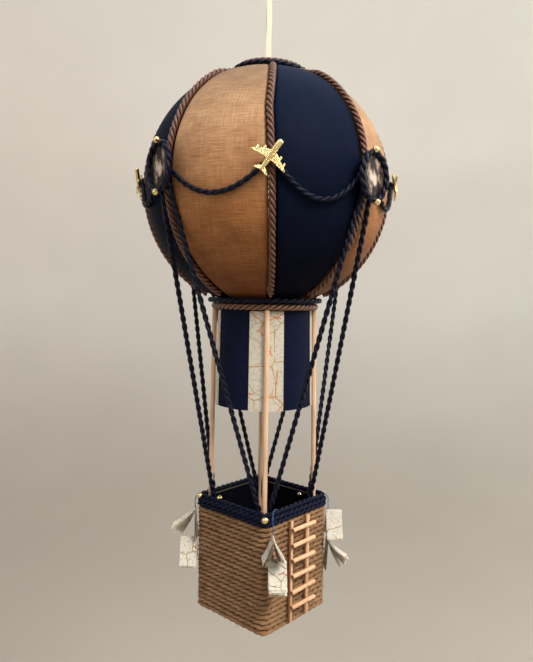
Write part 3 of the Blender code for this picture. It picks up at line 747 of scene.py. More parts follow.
seams = {  # tip: polar angle, radius and step in or out, in mm, of the smooth glued end in front
    "topPolar": 20.4, "bottomPolar": 150.8, "dip": 1.9 * mm, "dipPolar": 34, "tipSeam": 7, "tipTop": 26.0,
    "tip": ((23.2, 0.7, -1.3), (23.4, 1.5, -1.6), (23.9, 2.05, -1.95), (24.8, 2.35, -2.2), (26.0, 2.4, -2.1),
            (27.4, 2.2, -1.75), (28.4, 1.9, -1.35), (29.2, 1.4, -1.1)),
}


def makeSeams():  # the cords are pulled down towards the crown's ring
    s = seams
    for index in range(8):
        withTip = index == s["tipSeam"]
        polars = np.linspace(s["tipTop"] if withTip else s["topPolar"], s["bottomPolar"], 44)
        points = [onBall(seamAt(index, p), p, seamCentre - s["dip"] * easeIn((s["dipPolar"] - p) / 9))
                  for p in polars]
        meshes = [twistedMesh("seamCord", points, cords["brown"], upright="ball", phase=index * 1.3)]
        if withTip:
            line = [onBall(seamAt(index, p), p, seamCentre + step * mm) for p, _, step in s["tip"]]
            tip = tubeMesh("seamTip", [line], 1 * mm, 4, radii=[[radius for _, radius, _ in s["tip"]]])
            # The glued tip gets no painted gap shade
            tip.attributes.new("groove", "FLOAT", "POINT").data.foreach_set("value", [0.95] * len(tip.vertices))
            scaleUv(tip, 12 * mm, 8 * mm)
            meshes.append(tip)
        mesh = joinMeshes(f"seam_twist_{index + 1}", meshes)
        addPiece(mesh.name, mesh, brownSatin, replaces=[f"seam_cord_{index + 1}"])


leanAzimuth = 42  # the side that the crown's rings lean to
rings = {  # radius, height, cord, material, how much that side sinks, and the shift to it
    "crown_ring_navy": (23.2 * mm, 70.1 * mm, "navy", navySatin, 0.03, 1.5 * mm),
    "crown_ring_brown": (20.5 * mm, 72.1 * mm, "crownBrown", brownSatin, 0.03, 1.5 * mm),
    "mouth_ring_navy": (34.6 * mm, -69.9 * mm, "navy", navySatin, 0, 0),
    "mouth_ring_brown": (32.0 * mm, -73.7 * mm, "brown", mouthSatin, 0, 0),
}


def makeRings():
    for name, (radius, height, cord, material, lean, shift) in rings.items():
        points = [around(a, radius, height - lean * radius * math.cos(math.radians(a - leanAzimuth)))
                  + around(leanAzimuth, shift, -ballRise) for a in range(0, 360, 6)]
        mesh = twistedMesh(name + "_twist", points, cords[cord], closed=True, upright=(0, 0, 1))
        addPiece(name + "_twist", mesh, material, replaces=[name])


makeGores()
makeCaps()
makeSeams()
makeRings()
print("ball done")


# Medallions: an oval of cord round a picture card, with a bead at the top and the bottom
medallion = {
    "sites": {  # azimuth of the seam, degrees off it, height, degrees of lean
        "front": (-2.5, 0.3, -1.6 * mm, 6.0), "right": (87.5, 0, 1.2 * mm, -2.0),
        "back": (177.5, 0, 1.2 * mm, 1.5), "left": (-93.5, -0.1, 1.9 * mm, 0.0),
    },
    "halfWidth": 10.2 * mm, "halfHeight": 12.8 * mm, "frameCentre": 82.0 * mm, "turnedOut": 0.06,
    "cardFront": 81.6 * mm, "cardThick": 0.9 * mm, "cardBulge": 0.7 * mm, "cardInset": 1.2 * mm,
    "insets": (0.18, 0.22, 0.24), "bead": 1.85 * mm, "beadPast": 1.1 * mm, "beadOut": 2.0 * mm,
}


def makePictureMaterial():  # a plain sepia print: pale clouds on a dark ground
    material, tree, shader = startMaterial("pictureCard", Roughness=0.45, Specular_IOR_Level=0.1)
    clouds = addNoise(tree, stretched(tree, uvPlace(tree), (1.7, 1.2, 1), shift=(4, 2, 0)), 1.0, 5.0, 0.65)
    far = addNode(tree, "VectorMath", {0: uvPlace(tree)}, operation="LENGTH").outputs["Value"]
    level = addMath(tree, "SUBTRACT", addMath(tree, "ADD", clouds, 0.16), addMath(tree, "MULTIPLY", far, 0.3))
    colour = addRamp(tree, level, (0.34, paint(20, 15, 14)), (0.46, paint(60, 49, 44)),
                     (0.54, paint(138, 122, 110)), (0.64, paint(206, 192, 178)))
    tree.links.new(colour, shader.inputs["Base Color"])
    return material


def makeGoldMaterial(name, scale, dull, bright, bump):  # dull and bright: the two ends of its roughness
    material, tree, shader = startMaterial(name, Metallic=1.0)
    fine = addNoise(tree, objectPlace(tree), scale, 3.0, 0.7)
    tree.links.new(addRamp(tree, fine, (0.3, paint(224, 186, 112)), (0.7, paint(255, 240, 186))),
                   shader.inputs["Base Color"])
    tree.links.new(addRamp(tree, fine, (0.3, grey(dull)), (0.7, grey(bright))), shader.inputs["Roughness"])
    if bump:
        addBump(tree, shader, fine, bump, 0.0006)
    return material


pictureMaterial = makePictureMaterial()
goldSmooth = makeGoldMaterial("goldSmooth", 500.0, 0.22, 0.14, 0)
goldRough = makeGoldMaterial("goldSparkle", 2600.0, 0.34, 0.16, 0.9)


def beadMesh(name, spots, radius):  # round beads with a hole: spots are (middle, axis, scale)
    bm = bmesh.new()
    section = [(math.cos(a), 0.97 * math.sin(a)) for a in np.linspace(-1.2, 1.2, 9)]
    section += [(0.42, 0.6), (0.42, -0.6)]
    for middle, axis, scale in spots:
        before = set(bm.verts)
        spinRound(bm, [(x * radius * scale, 0, z * radius * scale) for x, z in section], 20, closed=True)
        made = [v for v in bm.verts if v not in before]
        turned = Vector(axis).to_track_quat("Z", "Y").to_matrix().to_4x4()
        bmesh.ops.transform(bm, matrix=Matrix.Translation(middle) @ turned, verts=made)
    bmesh.ops.remove_doubles(bm, verts=bm.verts[:], dist=0.00001)
    return finishMesh(bm, name, 60, turnOut=True)


def medallionSpot(name, side, rise, radius):  # a place on a medallion, from its middle
    seam, step, height, lean = medallion["sites"][name]
    c, d = math.cos(math.radians(lean)), math.sin(math.radians(lean))
    side, rise = side * c - rise * d, side * d + rise * c
    turn = math.degrees(side / radius)
    polar = 90 - math.degrees((height + rise) / radius)
    return onBall(seam + step + turn, polar, radius + side * medallion["turnedOut"])


def pictureMesh(name, azimuth):  # a card that bulges a little under its print
    m = medallion
    bm = bmesh.new()
    uv = bm.loops.layers.uv.new("UVMap")
    bmesh.ops.create_circle(bm, cap_ends=True, segments=48, radius=1)
    for inset in m["insets"]:
        middle = max(bm.faces, key=lambda f: f.calc_area() if len(f.verts) > 4 else 0)
        bmesh.ops.inset_region(bm, faces=[middle], thickness=inset)
    flat = {v: (v.co.x, v.co.y) for v in bm.verts}
    for face in bm.faces:
        for loop in face.loops:
            loop[uv].uv = flat[loop.vert]
    halfW, halfH = m["halfWidth"] - m["cardInset"], m["halfHeight"] - m["cardInset"]
    for vert in bm.verts:
        x, y = flat[vert]
        bulge = m["cardBulge"] * (1 - x * x - y * y)
        vert.co = medallionSpot(name, x * halfW, y * halfH, m["cardFront"]) + around(azimuth, bulge, -ballRise)
    bmesh.ops.recalc_face_normals(bm, faces=bm.faces[:])
    if bm.faces[0].normal.dot(around(azimuth, 1, -ballRise)) < 0:
        bmesh.ops.reverse_faces(bm, faces=bm.faces[:])
    bmesh.ops.solidify(bm, geom=bm.faces[:], thickness=m["cardThick"])
    return finishMesh(bm, f"medallion_picture_{name}", 50)


def makeMedallions():
    m = medallion
    for name, (seam, step, _, _) in m["sites"].items():
        azimuth = seam + step
        points = [medallionSpot(name, m["halfWidth"] * math.cos(t), m["halfHeight"] * math.sin(t),
                                m["frameCentre"]) for t in np.linspace(0, math.tau, 60, endpoint=False)]
        mesh = twistedMesh(f"medallion_cord_{name}", points, cords["frame"], closed=True, upright="ball")
        addPiece(mesh.name, mesh, navySatin, replaces=[f"medallion_frame_{name}"])
        mesh = pictureMesh(name, azimuth)
        addPiece(mesh.name, mesh, pictureMaterial, replaces=[f"medallion_card_{name}"])
        spots = []
        for way in (1, -1):  # the thread through each bead leans, so its hole shows at the side
            rise = way * (m["halfHeight"] + m["beadPast"])
            middle = medallionSpot(name, 0, rise, m["frameCentre"] + m["beadOut"])
            spots.append((middle, around(azimuth, 0.55, -ballRise - 0.25 * way, 0.8), 1))
        mesh = beadMesh(f"medallion_beads_{name}", spots, m["bead"])
        addPiece(mesh.name, mesh, goldSmooth)


# Garland: swags from medallion to charm to medallion
garland = {
    "swags": {  # the two medallions, and how deep each half hangs
        "front_left": ("left", "front", 15.6 * mm, 18.0 * mm),
        "front_right": ("front", "right", 17 * mm, 17 * mm),
        "back_right": ("right", "back", 17 * mm, 17 * mm),
        "back_left": ("back", "left", 17 * mm, 17 * mm),
    },
    "charmZ": 4.5 * mm, "endZ": -0.6 * mm, "tuck": 4.2 * mm, "centre": 76.65 * mm,
    "lift": 1.9 * mm, "liftHalf": 7 * mm,  # where it climbs over the seam behind the charm
}


def swagPoint(seam, turn, endTurn, sag):
    g = garland
    along = turn / endTurn
    z = g["charmZ"] + (g["endZ"] - g["charmZ"]) * along - 4 * sag * along * (1 - along)
    radius = g["centre"]
    fromSeam = abs(math.radians(turn)) * radius
    if fromSeam < g["liftHalf"]:
        radius += g["lift"] * math.cos(math.pi / 2 * fromSeam / g["liftHalf"]) ** 2
    return onBall(seam + turn, math.degrees(math.acos(z / radius)), radius)


def makeGarland():
    halfTurn = math.degrees((medallion["halfWidth"] - garland["tuck"]) / garland["centre"])
    centres = {name: seam + step for name, (seam, step, _, _) in medallion["sites"].items()}
    for name, (before, after, sagBefore, sagAfter) in garland["swags"].items():
        seam = cornerSeams[name]
        points = []
        for site, way, sag in ((before, -1, sagBefore), (after, 1, sagAfter)):
            endTurn = way * ((way * (centres[site] - seam)) % 360 - halfTurn)
            half = [swagPoint(seam, endTurn * i / 24, endTurn, sag) for i in range(25)]
            points += half[:0:-1] if way < 0 else half
        mesh = twistedMesh(f"garland_twist_{name}", points, cords["garland"], upright="ball")
        addPiece(mesh.name, mesh, navySatin, replaces=[f"garland_{name}"])


# Stays: over the seam behind each medallion and down to the two basket corners beside it
stay = {  # route: degrees off the seam and polar angle, down the ball
    "start": 5.0 * mm, "centre": 76.75 * mm, "overSeam": 79.55 * mm, "arch": (15, 45, 72),
    "route": ((3.1, 101.5), (4.1, 107.0)), "run": (0.04, 0.12, 0.25, 0.5, 0.75, 0.95),
    "endRadius": 31.3 * mm, "endSide": 3.15 * mm, "rimZ": -196 * mm, "endZ": -206 * mm,
}


def stayLeg(azimuth, way, startPolar):
    s = stay
    arch = s["overSeam"] - seamCentre + 0.1 * mm
    points = []
    for turn in s["arch"]:
        side = math.degrees(way * arch * math.sin(math.radians(turn)) / ballRadius)
        out = seamCentre + arch * math.cos(math.radians(turn))
        points.append(onBall(azimuth + side, startPolar + turn / 20, out))
    points += [onBall(azimuth + way * off, polar, s["centre"]) for off, polar in s["route"]]
    leave, corner = points[-1], 90 * round(azimuth / 90) + way * 45
    rim = around(corner, s["endRadius"], s["rimZ"], -way * s["endSide"])
    points += [leave.lerp(rim, share) for share in s["run"]]
    points += [rim, around(corner, s["endRadius"], s["endZ"], -way * s["endSide"])]
    return points


def makeStays():
    for name, (azimuth, _, height, _) in medallion["sites"].items():
        start = 90 + math.degrees((stay["start"] - height) / stay["overSeam"])
        legs = [stayLeg(azimuth, way, start) for way in (-1, 1)]
        mesh = twistedMesh(f"stay_twist_{name}", [*reversed(legs[0]), *legs[1]], cords["navy"])
        addPiece(mesh.name, mesh, navySatin, replaces=[f"stay_{name}"])


makeMedallions()
makeGarland()
makeStays()
print("medallions, garland and stays done")


# Skirt: a card tube with cloth wrapped round it, map paper down it and four dowels
skirt = {
    "topRadius": 29.0 * mm, "bottomRadius": 30.3 * mm, "meanRadius": 29.7 * mm, "wall": 1.2 * mm,
    "bottom": -135.7 * mm, "cardUp": 0.15 * mm, "cloth": 0.35 * mm, "clothGap": 0.05 * mm,
    "seamAzimuth": -128, "wrapAngle": 359.2, "fray": 0.448 * mm, "frayHeight": 5 * mm, "lapSag": 0.5 * mm,
    "flapAngle": 12, "flapOut": 0.3 * mm, "flapThick": 0.28 * mm, "flapTop": 0.6 * mm, "flapDown": 0.5 * mm,
    "stripAngle": 40, "stripTop": -76.2 * mm, "stripThick": 0.3 * mm, "stripOut": 0.55 * mm,
    "stripDown": 0.1 * mm, "flatSize": (0.187, 0.0665),
}


def skirtTop(radius):
    return -math.sqrt((ballRadius + 0.3 * mm) ** 2 - radius**2)


def skirtRadius(z):
    s = skirt
    top = skirtTop(s["topRadius"])
    return s["topRadius"] + (s["bottomRadius"] - s["topRadius"]) * (z - top) / (s["bottom"] - top)


# Paper with made-up roads, fields, height lines, hatching and dots; the UV map is in millimetres
def makeMapMaterial(name, low, high, roadKinds, green=0.55, dotSize=0.03):
    material, tree, shader = startMaterial(name, Roughness=0.62)
    uv = uvPlace(tree)
    bend = addNode(tree, "TexNoise", {"Vector": uv, "Scale": 0.13, "Detail": 2.0}).outputs["Color"]
    bend = addNode(tree, "VectorMath", {0: bend, 1: (3.0, 3.0, 3.0)}, operation="MULTIPLY").outputs[0]
    bent = addNode(tree, "VectorMath", {0: uv, 1: bend}, operation="ADD").outputs[0]

    def roads(scale, wide, shift):
        cells = addNode(tree, "TexVoronoi", {"Vector": stretched(tree, bent, shift=shift), "Scale": scale,
                                             "Randomness": 1.0},
                        feature="DISTANCE_TO_EDGE", voronoi_dimensions="2D")
        return addMath(tree, "LESS_THAN", addMath(tree, "DIVIDE", cells.outputs["Distance"], scale), wide)

    def only(mask, scale, least, shift):  # keeps a mask in some places only
        where = addNoise(tree, stretched(tree, uv, shift=shift), scale, 1.0)
        return addMath(tree, "MULTIPLY", mask, addMath(tree, "GREATER_THAN", where, least))

    base = addRamp(tree, addNoise(tree, uv, 0.8, 4.0), (0.3, paint(*low)), (0.7, paint(*high)))
    fields = addNoise(tree, stretched(tree, uv, shift=(31, 5, 0)), 0.16, 3.0)
    fields = addMath(tree, "GREATER_THAN", fields, 0.62)
    colour = addMix(tree, addMath(tree, "MULTIPLY", fields, green), base, paint(190, 206, 172))
    lines = addNoise(tree, stretched(tree, uv, shift=(9, 2, 0)), 0.3, 4.0)
    contour = addMath(tree, "LESS_THAN", addMath(tree, "PINGPONG", lines, 0.045), 0.0028)
    colour = addMix(tree, addMath(tree, "MULTIPLY", contour, 0.55), colour, paint(140, 146, 156))
    hatch = addNode(tree, "TexWave", {"Vector": uv, "Scale": 0.9, "Distortion": 3.0, "Detail": 2.0},
                    bands_direction="DIAGONAL").outputs["Fac"]
    hatched = only(addMath(tree, "GREATER_THAN", hatch, 0.72), 0.5, 0.6, (70, 20, 0))
    colour = addMix(tree, addMath(tree, "MULTIPLY", hatched, 0.6), colour, paint(96, 92, 92))
    for scale, wide, shift, tint, places in roadKinds:
        colour = addMix(tree, only(roads(scale, wide, shift), 0.07, places, shift), colour, paint(*tint))
    dots = addNode(tree, "TexVoronoi", {"Vector": uv, "Scale": 0.16}, voronoi_dimensions="2D")
    dotted = addMath(tree, "LESS_THAN", dots.outputs["Distance"], dotSize)
    colour = addMix(tree, dotted, colour, paint(190, 80, 60))
    tree.links.new(colour, shader.inputs["Base Color"])
    addBump(tree, shader, addNoise(tree, uv, 5.0, 3.0), 0.15, 0.0001)
    return material


def makeWoodMaterial(name, dark, mid, light):
    material, tree, shader = startMaterial(name, Roughness=0.55)
    place = objectPlace(tree)
    grain = addNoise(tree, stretched(tree, place, (1100, 1100, 55)), 1.0, 4.0, 0.6)
    patch = addNoise(tree, place, 45.0, 2.0)
    both = addMath(tree, "ADD", addMath(tree, "MULTIPLY", grain, 0.6), addMath(tree, "MULTIPLY", patch, 0.4))
    tree.links.new(addRamp(tree, both, (0.34, paint(*dark)), (0.5, paint(*mid)), (0.66, paint(*light))),
                   shader.inputs["Base Color"])
    addBump(tree, shader, grain, 0.3, 0.0002)
    return material


def makeCardMaterial():
    material, tree, shader = startMaterial("greyCard", Roughness=0.85)
    fine = addNoise(tree, objectPlace(tree), 1800.0, 3.0)
    tree.links.new(addRamp(tree, fine, (0.3, paint(78, 64, 50)), (0.7, paint(104, 88, 70))),
                   shader.inputs["Base Color"])
    return material


# Each kind of road: how close they lie, half their width in mm, shift, colour, and how rare they are
mapPaper = makeMapMaterial("mapPaper", (186, 179, 164), (211, 204, 189), (
    (0.075, 0.16, (0, 0, 0), (160, 134, 84), 0.40), (0.05, 0.24, (61, 9, 0), (168, 136, 62), 0.42),
    (0.034, 0.34, (13, 41, 0), (196, 116, 44), 0.44), (0.026, 0.26, (5, 77, 0), (170, 56, 58), 0.68)))
bundlePaper = makeMapMaterial("bundlePaper", (240, 234, 218), (253, 249, 238), (
    (0.10, 0.22, (0, 0, 0), (182, 146, 66), 0.36), (0.06, 0.26, (61, 9, 0), (204, 104, 56), 0.56)),
    green=0.15, dotSize=0.0)
birch = makeWoodMaterial("birchStick", (188, 149, 118), (208, 171, 139), (222, 191, 160))
ladderWood = makeWoodMaterial("ladderWood", (180, 134, 100), (212, 168, 130), (230, 192, 154))
greyCard = makeCardMaterial()


# A sheet round the skirt: the azimuth it starts at, its angle and steps, top, bottom, how far it stands off
def wrappedMesh(name, start, angle, steps, top, bottom, rise, thick, shape=None, uvShift=0.0):
    bm = bmesh.new()
    uv = bm.loops.layers.uv.new("UVMap")
    heights = np.linspace(top, bottom, 15)
    verts = [bm.verts.new(around(start, skirtRadius(z) + rise, z)) for z in heights]
    edges = [bm.edges.new(pair) for pair in zip(verts, verts[1:])]
    bmesh.ops.spin(bm, geom=verts + edges, axis=(0, 0, 1), cent=(0, 0, 0), angle=math.radians(angle),
                   steps=steps)
    flat = {}
    for vert in bm.verts:
        z = vert.co.z - ballRise
        turn = (math.degrees(math.atan2(vert.co.x, -vert.co.y)) - start) % 360
        if turn > 359.9:
            turn = 0.0
        flat[vert] = (math.radians(turn) * skirtRadius(z), z)
    for face in bm.faces:
        turns = [flat[v][0] for v in face.verts]
        split = max(turns) - min(turns) > 50 * mm  # a face whose corners lie on both sides of the start
        for loop in face.loops:
            across, z = flat[loop.vert]
            if split and across < 50 * mm:
                across += math.tau * skirt["meanRadius"]
            loop[uv].uv = (across + uvShift, z)
    if shape:
        for vert, (across, z) in flat.items():
            shape(vert, across, z)
    bmesh.ops.recalc_face_normals(bm, faces=bm.faces[:])
    bm.faces.ensure_lookup_table()
    middle = bm.faces[0].calc_center_median()
    if bm.faces[0].normal.dot(Vector((middle.x, middle.y, 0))) < 0:
        bmesh.ops.reverse_faces(bm, faces=bm.faces[:])
    bmesh.ops.solidify(bm, geom=bm.faces[:], thickness=thick)
    return finishMesh(bm, name, 50)


def makeSkirt():
    s = skirt
    under = s["cloth"] + s["clothGap"]
    inner, outer, end = s["topRadius"] - s["wall"], s["topRadius"] - under, s["bottom"] + s["cardUp"]
    tube = turnedMesh("skirt_card", (
        (outer, skirtTop(outer)), (s["bottomRadius"] - under, end), (s["bottomRadius"] - s["wall"], end),
        (inner, skirtTop(inner))), 72)
    card = addPiece("skirt_card", tube, greyCard, replaces=["skirt"])

    def wrap(vert, across, z):  # the end laps over the start, and the lower edge is cut by hand
        turn = math.degrees(across / skirtRadius(z))
        low = easeIn((s["bottom"] + s["frayHeight"] - z) / s["frayHeight"])
        edge = s["fray"] * noise.noise(Vector((across * 260, 3, 0)))
        vert.co.z += low * (edge - (s["lapSag"] if turn > 350 else 0))

    top = skirtTop(s["topRadius"])
    cloth = wrappedMesh("skirt_cloth", s["seamAzimuth"], s["wrapAngle"], 120, top, s["bottom"], 0, s["cloth"],
                        wrap)
    piece = addPiece("skirt_cloth", cloth, skirtNavy)
    flap = wrappedMesh("skirt_flap", s["seamAzimuth"] - s["flapAngle"] / 2, s["flapAngle"], 8,
                       top - s["flapTop"], s["bottom"] - s["flapDown"], s["flapOut"], s["flapThick"], wrap,
                       uvShift=3 * mm)
    flapPiece = addPiece("skirt_flap", flap, skirtNavy)
    for index, (name, azimuth) in enumerate(corners.items()):
        strip = wrappedMesh(f"map_paper_{name}", azimuth - s["stripAngle"] / 2, s["stripAngle"], 16,
                            s["stripTop"], s["bottom"] - s["stripDown"], s["stripOut"], s["stripThick"])
        inMillimetres(strip, index * 37.0)
        addPiece(strip.name, strip, mapPaper, replaces=[f"map_strip_{name}"])


def inMillimetres(mesh, shift):  # each strip shows another part of the map
    layer = mesh.uv_layers[0].uv
    values = np.empty(len(layer) * 2, np.float32)
    layer.foreach_get("vector", values)
    layer.foreach_set("vector", values / mm + np.tile((shift, shift * 0.6), len(layer)).astype(np.float32))


def stickMesh(name, sticks, radius, sides, soft):  # round sticks with softened ends
    bm = bmesh.new()
    for start, end in sticks:
        before = set(bm.verts)
        along = Vector(end) - Vector(start)
        bmesh.ops.create_cone(bm, cap_ends=True, segments=sides, radius1=radius, radius2=radius,
                              depth=along.length)
        made = [v for v in bm.verts if v not in before]
        rims = [e for e in bm.edges if e.verts[0] in made and abs(e.verts[0].co.z - e.verts[1].co.z) < 1e-7
                and abs(abs(e.verts[0].co.z) - along.length / 2) < 1e-7]
        soften(bm, rims, soft)
        made = [v for v in bm.verts if v not in before]
        turn = along.to_track_quat("Z", "Y").to_matrix().to_4x4()
        middle = (Vector(start) + Vector(end)) / 2
        bmesh.ops.transform(bm, matrix=Matrix.Translation(middle) @ turn, verts=made)
    return finishMesh(bm, name, 50, turnOut=True)


dowel = {  # its two ends: distance from the axis, height
    "radius": 1.5 * mm, "soft": 0.25 * mm, "top": (31.75 * mm, -75.6 * mm), "bottom": (34.2 * mm, -264.4 * mm),
}


def makeDowels():
    d = dowel
    for name, azimuth in corners.items():
        ends = around(azimuth, *d["top"]), around(azimuth, *d["bottom"])
        mesh = stickMesh(f"dowel_stick_{name}", [ends], d["radius"], 20, d["soft"])
        addPiece(mesh.name, mesh, birch, replaces=[f"dowel_{name}"])


makeSkirt()
makeDowels()
print("skirt and dowels done")


# Basket: a card box wound with jute twine, lined, with three rows of navy cord for a rim
basket = {
    "half": 31.0 * mm, "corner": 6.0 * mm, "top": -202.8 * mm, "bottom": -268.3 * mm,
    "cardTop": -197.6 * mm, "cardHalf": 28.3 * mm, "cardCorner": 3.6 * mm, "cardWall": 1.0 * mm,
    "floor": 2.5 * mm, "liningHalf": 27.0 * mm, "liningCorner": 2.7 * mm, "liningTop": -197.75 * mm,
    "liningThick": 0.8 * mm, "gap": 0.3 * mm,
    "boardWide": 57.6 * mm, "boardThick": 1.2 * mm, "boardCorner": 3.4 * mm, "boardSoft": 0.35 * mm,
    "boardRise": 0.62 * mm,
}
winding = {  # stepAt: the share of each round after which the twine steps down to the next row
    "radius": 1.5 * mm, "row": 3.09 * mm, "wander": 0.34 * mm, "stand": 0.22 * mm, "pressed": 0.12 * mm,
    "start": 0.30, "stepAt": 0.93, "spacing": 1.2 * mm,
}
hairs = {
    "count": 2000, "radius": 0.05 * mm, "root": 1.2 * mm, "spread": 0.9, "reach": (1.2, 4.0),
    "taper": (1, 0.9, 0.7, 0.35),
}
rimRows = {"low": (30.1 * mm, -201.0 * mm), "high": (30.1 * mm, -198.3 * mm), "edge": (28.9 * mm, -195.8 * mm)}


def squareLength(half, corner):
    return 4 * (2 * (half - corner) + math.pi / 2 * corner)


def squarePoint(half, corner, along):  # a point on a rounded square, along from 0 to 1, and its outward way
    flat = 2 * (half - corner)
    bend = math.pi / 2 * corner
    quarter, rest = divmod((along % 1.0) * squareLength(half, corner), flat + bend)
    inner = half - corner
    if rest < flat:
        point, out = Vector((inner + corner, -inner + rest, 0)), Vector((1, 0, 0))
    else:
        turn = (rest - flat) / corner
        out = Vector((math.cos(turn), math.sin(turn), 0))
        point = Vector((inner, inner, 0)) + out * corner
    spin = Matrix.Rotation(math.pi / 2 * quarter, 3, "Z")
    return spin @ point, spin @ out


def makeJuteMaterial():
    material, tree, shader = startMaterial("juteTwine", Roughness=0.85, Sheen_Weight=0.15)
    shader.inputs["Sheen Tint"].default_value = paint(200, 160, 120)
    fibres = placeGroup(tree, fibreGroup, {"Vector": uvPlace(tree), "Around": 6.5, "Along": 0.34, "Slant": 0.4})
    patch = addNoise(tree, objectPlace(tree), 160.0, 3.0)
    both = addMath(tree, "ADD", addMath(tree, "MULTIPLY", fibres["Fac"], 0.75),
                   addMath(tree, "MULTIPLY", patch, 0.25))
    colour = addRamp(tree, both, (0.36, paint(84, 58, 36)), (0.48, paint(131, 95, 62)),
                     (0.57, paint(157, 119, 82)), (0.68, paint(204, 168, 128)))
    tree.links.new(colour, shader.inputs["Base Color"])
    addBump(tree, shader, fibres["Height"], 0.8, 0.0004)
    return material


juteTwine = makeJuteMaterial()
darkLining = makeNavyFabric("navyLining", (6, 6, 12), (13, 14, 24))


def squareBlock(wide, height, corner, segments):  # its upright edges are rounded
    bm = bmesh.new()
    bmesh.ops.create_cube(bm, size=1)
    bmesh.ops.scale(bm, vec=(wide, wide, height), verts=bm.verts)
    upright = [e for e in bm.edges if abs(e.verts[0].co.z - e.verts[1].co.z) > height / 2]
    soften(bm, upright, corner, segments)
    return bm


def openBox(name, half, corner, top, bottom, wall, floor):
    height = top - bottom
    bm = squareBlock(2 * half, height, corner, 6)
    lid = max(bm.faces, key=lambda f: f.calc_center_median().z)
    bmesh.ops.inset_region(bm, faces=[lid], thickness=wall)
    made = bmesh.ops.extrude_face_region(bm, geom=[lid])
    low = [v for v in made["geom"] if isinstance(v, bmesh.types.BMVert)]
    bmesh.ops.translate(bm, vec=(0, 0, floor - height), verts=low)
    if lid.is_valid:
        bmesh.ops.delete(bm, geom=[lid], context="FACES_ONLY")
    bmesh.ops.translate(bm, vec=(0, 0, (top + bottom) / 2 + ballRise), verts=bm.verts)
    return finishMesh(bm, name, 40, turnOut=True)


def boxUv(mesh):  # across and up each face, in metres
    layer = mesh.uv_layers.new(name="UVMap")
    for polygon in mesh.polygons:
        n = polygon.normal
        for index in polygon.loop_indices:
            p = mesh.vertices[mesh.loops[index].vertex_index].co
            if abs(n.z) > 0.7:
                layer.data[index].uv = (p.x, p.y)
            else:
                layer.data[index].uv = (p.y if abs(n.x) > abs(n.y) else p.x, p.z)


def makeTwine():  # one length of twine, wound row on row, stepping down at the far corner
    b, w = basket, winding
    half, corner = b["half"] - w["radius"], b["corner"] - w["radius"]
    total = squareLength(half, corner)
    height = b["top"] - b["bottom"] - 2 * w["radius"]
    rows = int(height / w["row"]) + 1
    pitch = height / (rows - 1)
    points = []
    steps = int(total / w["spacing"])
    for row in range(rows):
        for i in range(steps):
            along = i / steps
            point, out = squarePoint(half, corner, along + w["start"])
            drop = row + (easeIn((along - w["stepAt"]) / (1 - w["stepAt"])) if row < rows - 1 else 0)
            spot = Vector((along * total * 45, row * 0.42, 0))
            wander = 0 if row in (0, rows - 1) else noise.noise(spot) + 0.5 * noise.noise(spot * 2.7)
            z = b["top"] - w["radius"] - drop * pitch + wander * w["wander"]
            stand = noise.noise(spot * 1.7 + Vector((9, 4, 2))) * w["stand"] - w["pressed"]
            points.append(point + out * stand + Vector((0, 0, z + ballRise)))
    mesh = twistedMesh("basket_twine", points, cords["twine"], upright=(0, 0, 1), smooth=False)
    addPiece("basket_twine", mesh, juteTwine, replaces=["basket"])
    return points


def makeHairs(points):  # loose fibres standing off the twine
    h = hairs
    random.seed(5)
    lines = []
    for _ in range(h["count"]):
        at = points[random.randrange(len(points))]
        onX = abs(at.x) > abs(at.y)
        face = Vector((math.copysign(1, at.x), 0, 0)) if onX else Vector((0, math.copysign(1, at.y), 0))
        out = (face + Vector((at.x, at.y, 0)).normalized() * 0.4).normalized()
        side = out.cross(Vector((0, 0, 1)))
        start = at + out * h["root"] + Vector((0, 0, random.uniform(-h["spread"], h["spread"]) * mm))
        reach = random.uniform(*h["reach"]) * mm
        way = (side * random.choice((-1, 1)) * random.uniform(0.5, 1) + out * random.uniform(0.1, 0.55)
               + Vector((0, 0, random.uniform(-0.6, 0.6)))).normalized()
        curl = (Vector((0, 0, random.uniform(-0.5, 0.5))) + out * random.uniform(-0.25, 0.2)) * reach
        lines.append([start + way * reach * t + curl * t * t for t in (0, 0.3, 0.65, 1)])
    mesh = tubeMesh("basket_twine_hairs", lines, h["radius"], 0, radii=[h["taper"]] * len(lines))
    scaleUv(mesh, 0.4 * mm, 3 * mm)
    addPiece("basket_twine_hairs", mesh, juteTwine)


def makeBasket():
    b = basket
    card = openBox("basket_card", b["cardHalf"], b["cardCorner"], b["cardTop"], b["bottom"] + 0.1 * mm,
                   b["cardWall"], b["floor"])
    addPiece("basket_card", card, greyCard)
    lining = openBox("basket_lining_cloth", b["liningHalf"], b["liningCorner"], b["liningTop"],
                     b["bottom"] + b["floor"] + b["gap"], b["liningThick"], b["liningThick"])
    boxUv(lining)
    addPiece("basket_lining_cloth", lining, darkLining, replaces=["basket_lining"])

    bm = squareBlock(b["boardWide"], b["boardThick"], b["boardCorner"], 5)  # the cloth covered base board
    soften(bm, [e for e in bm.edges if abs(e.verts[0].co.z - e.verts[1].co.z) < 1e-6], b["boardSoft"])
    bmesh.ops.translate(bm, vec=(0, 0, b["bottom"] + b["boardRise"] + ballRise), verts=bm.verts)
    board = finishMesh(bm, "basket_base_board", 40, turnOut=True)
    boxUv(board)
    addPiece("basket_base_board", board, skirtNavy)

    makeHairs(makeTwine())
    for index, (name, (half, z)) in enumerate(rimRows.items()):
        corner = b["corner"] + half - b["half"]
        points = [squarePoint(half, corner, i / 240)[0] + Vector((0, 0, z + ballRise)) for i in range(240)]
        mesh = twistedMesh(f"rim_twist_{name}", points, cords["rim"], closed=True, upright=(0, 0, 1),
                           smooth=False, phase=index * 0.9)
        addPiece(mesh.name, mesh, rimSatin, replaces=["rim_cord"])


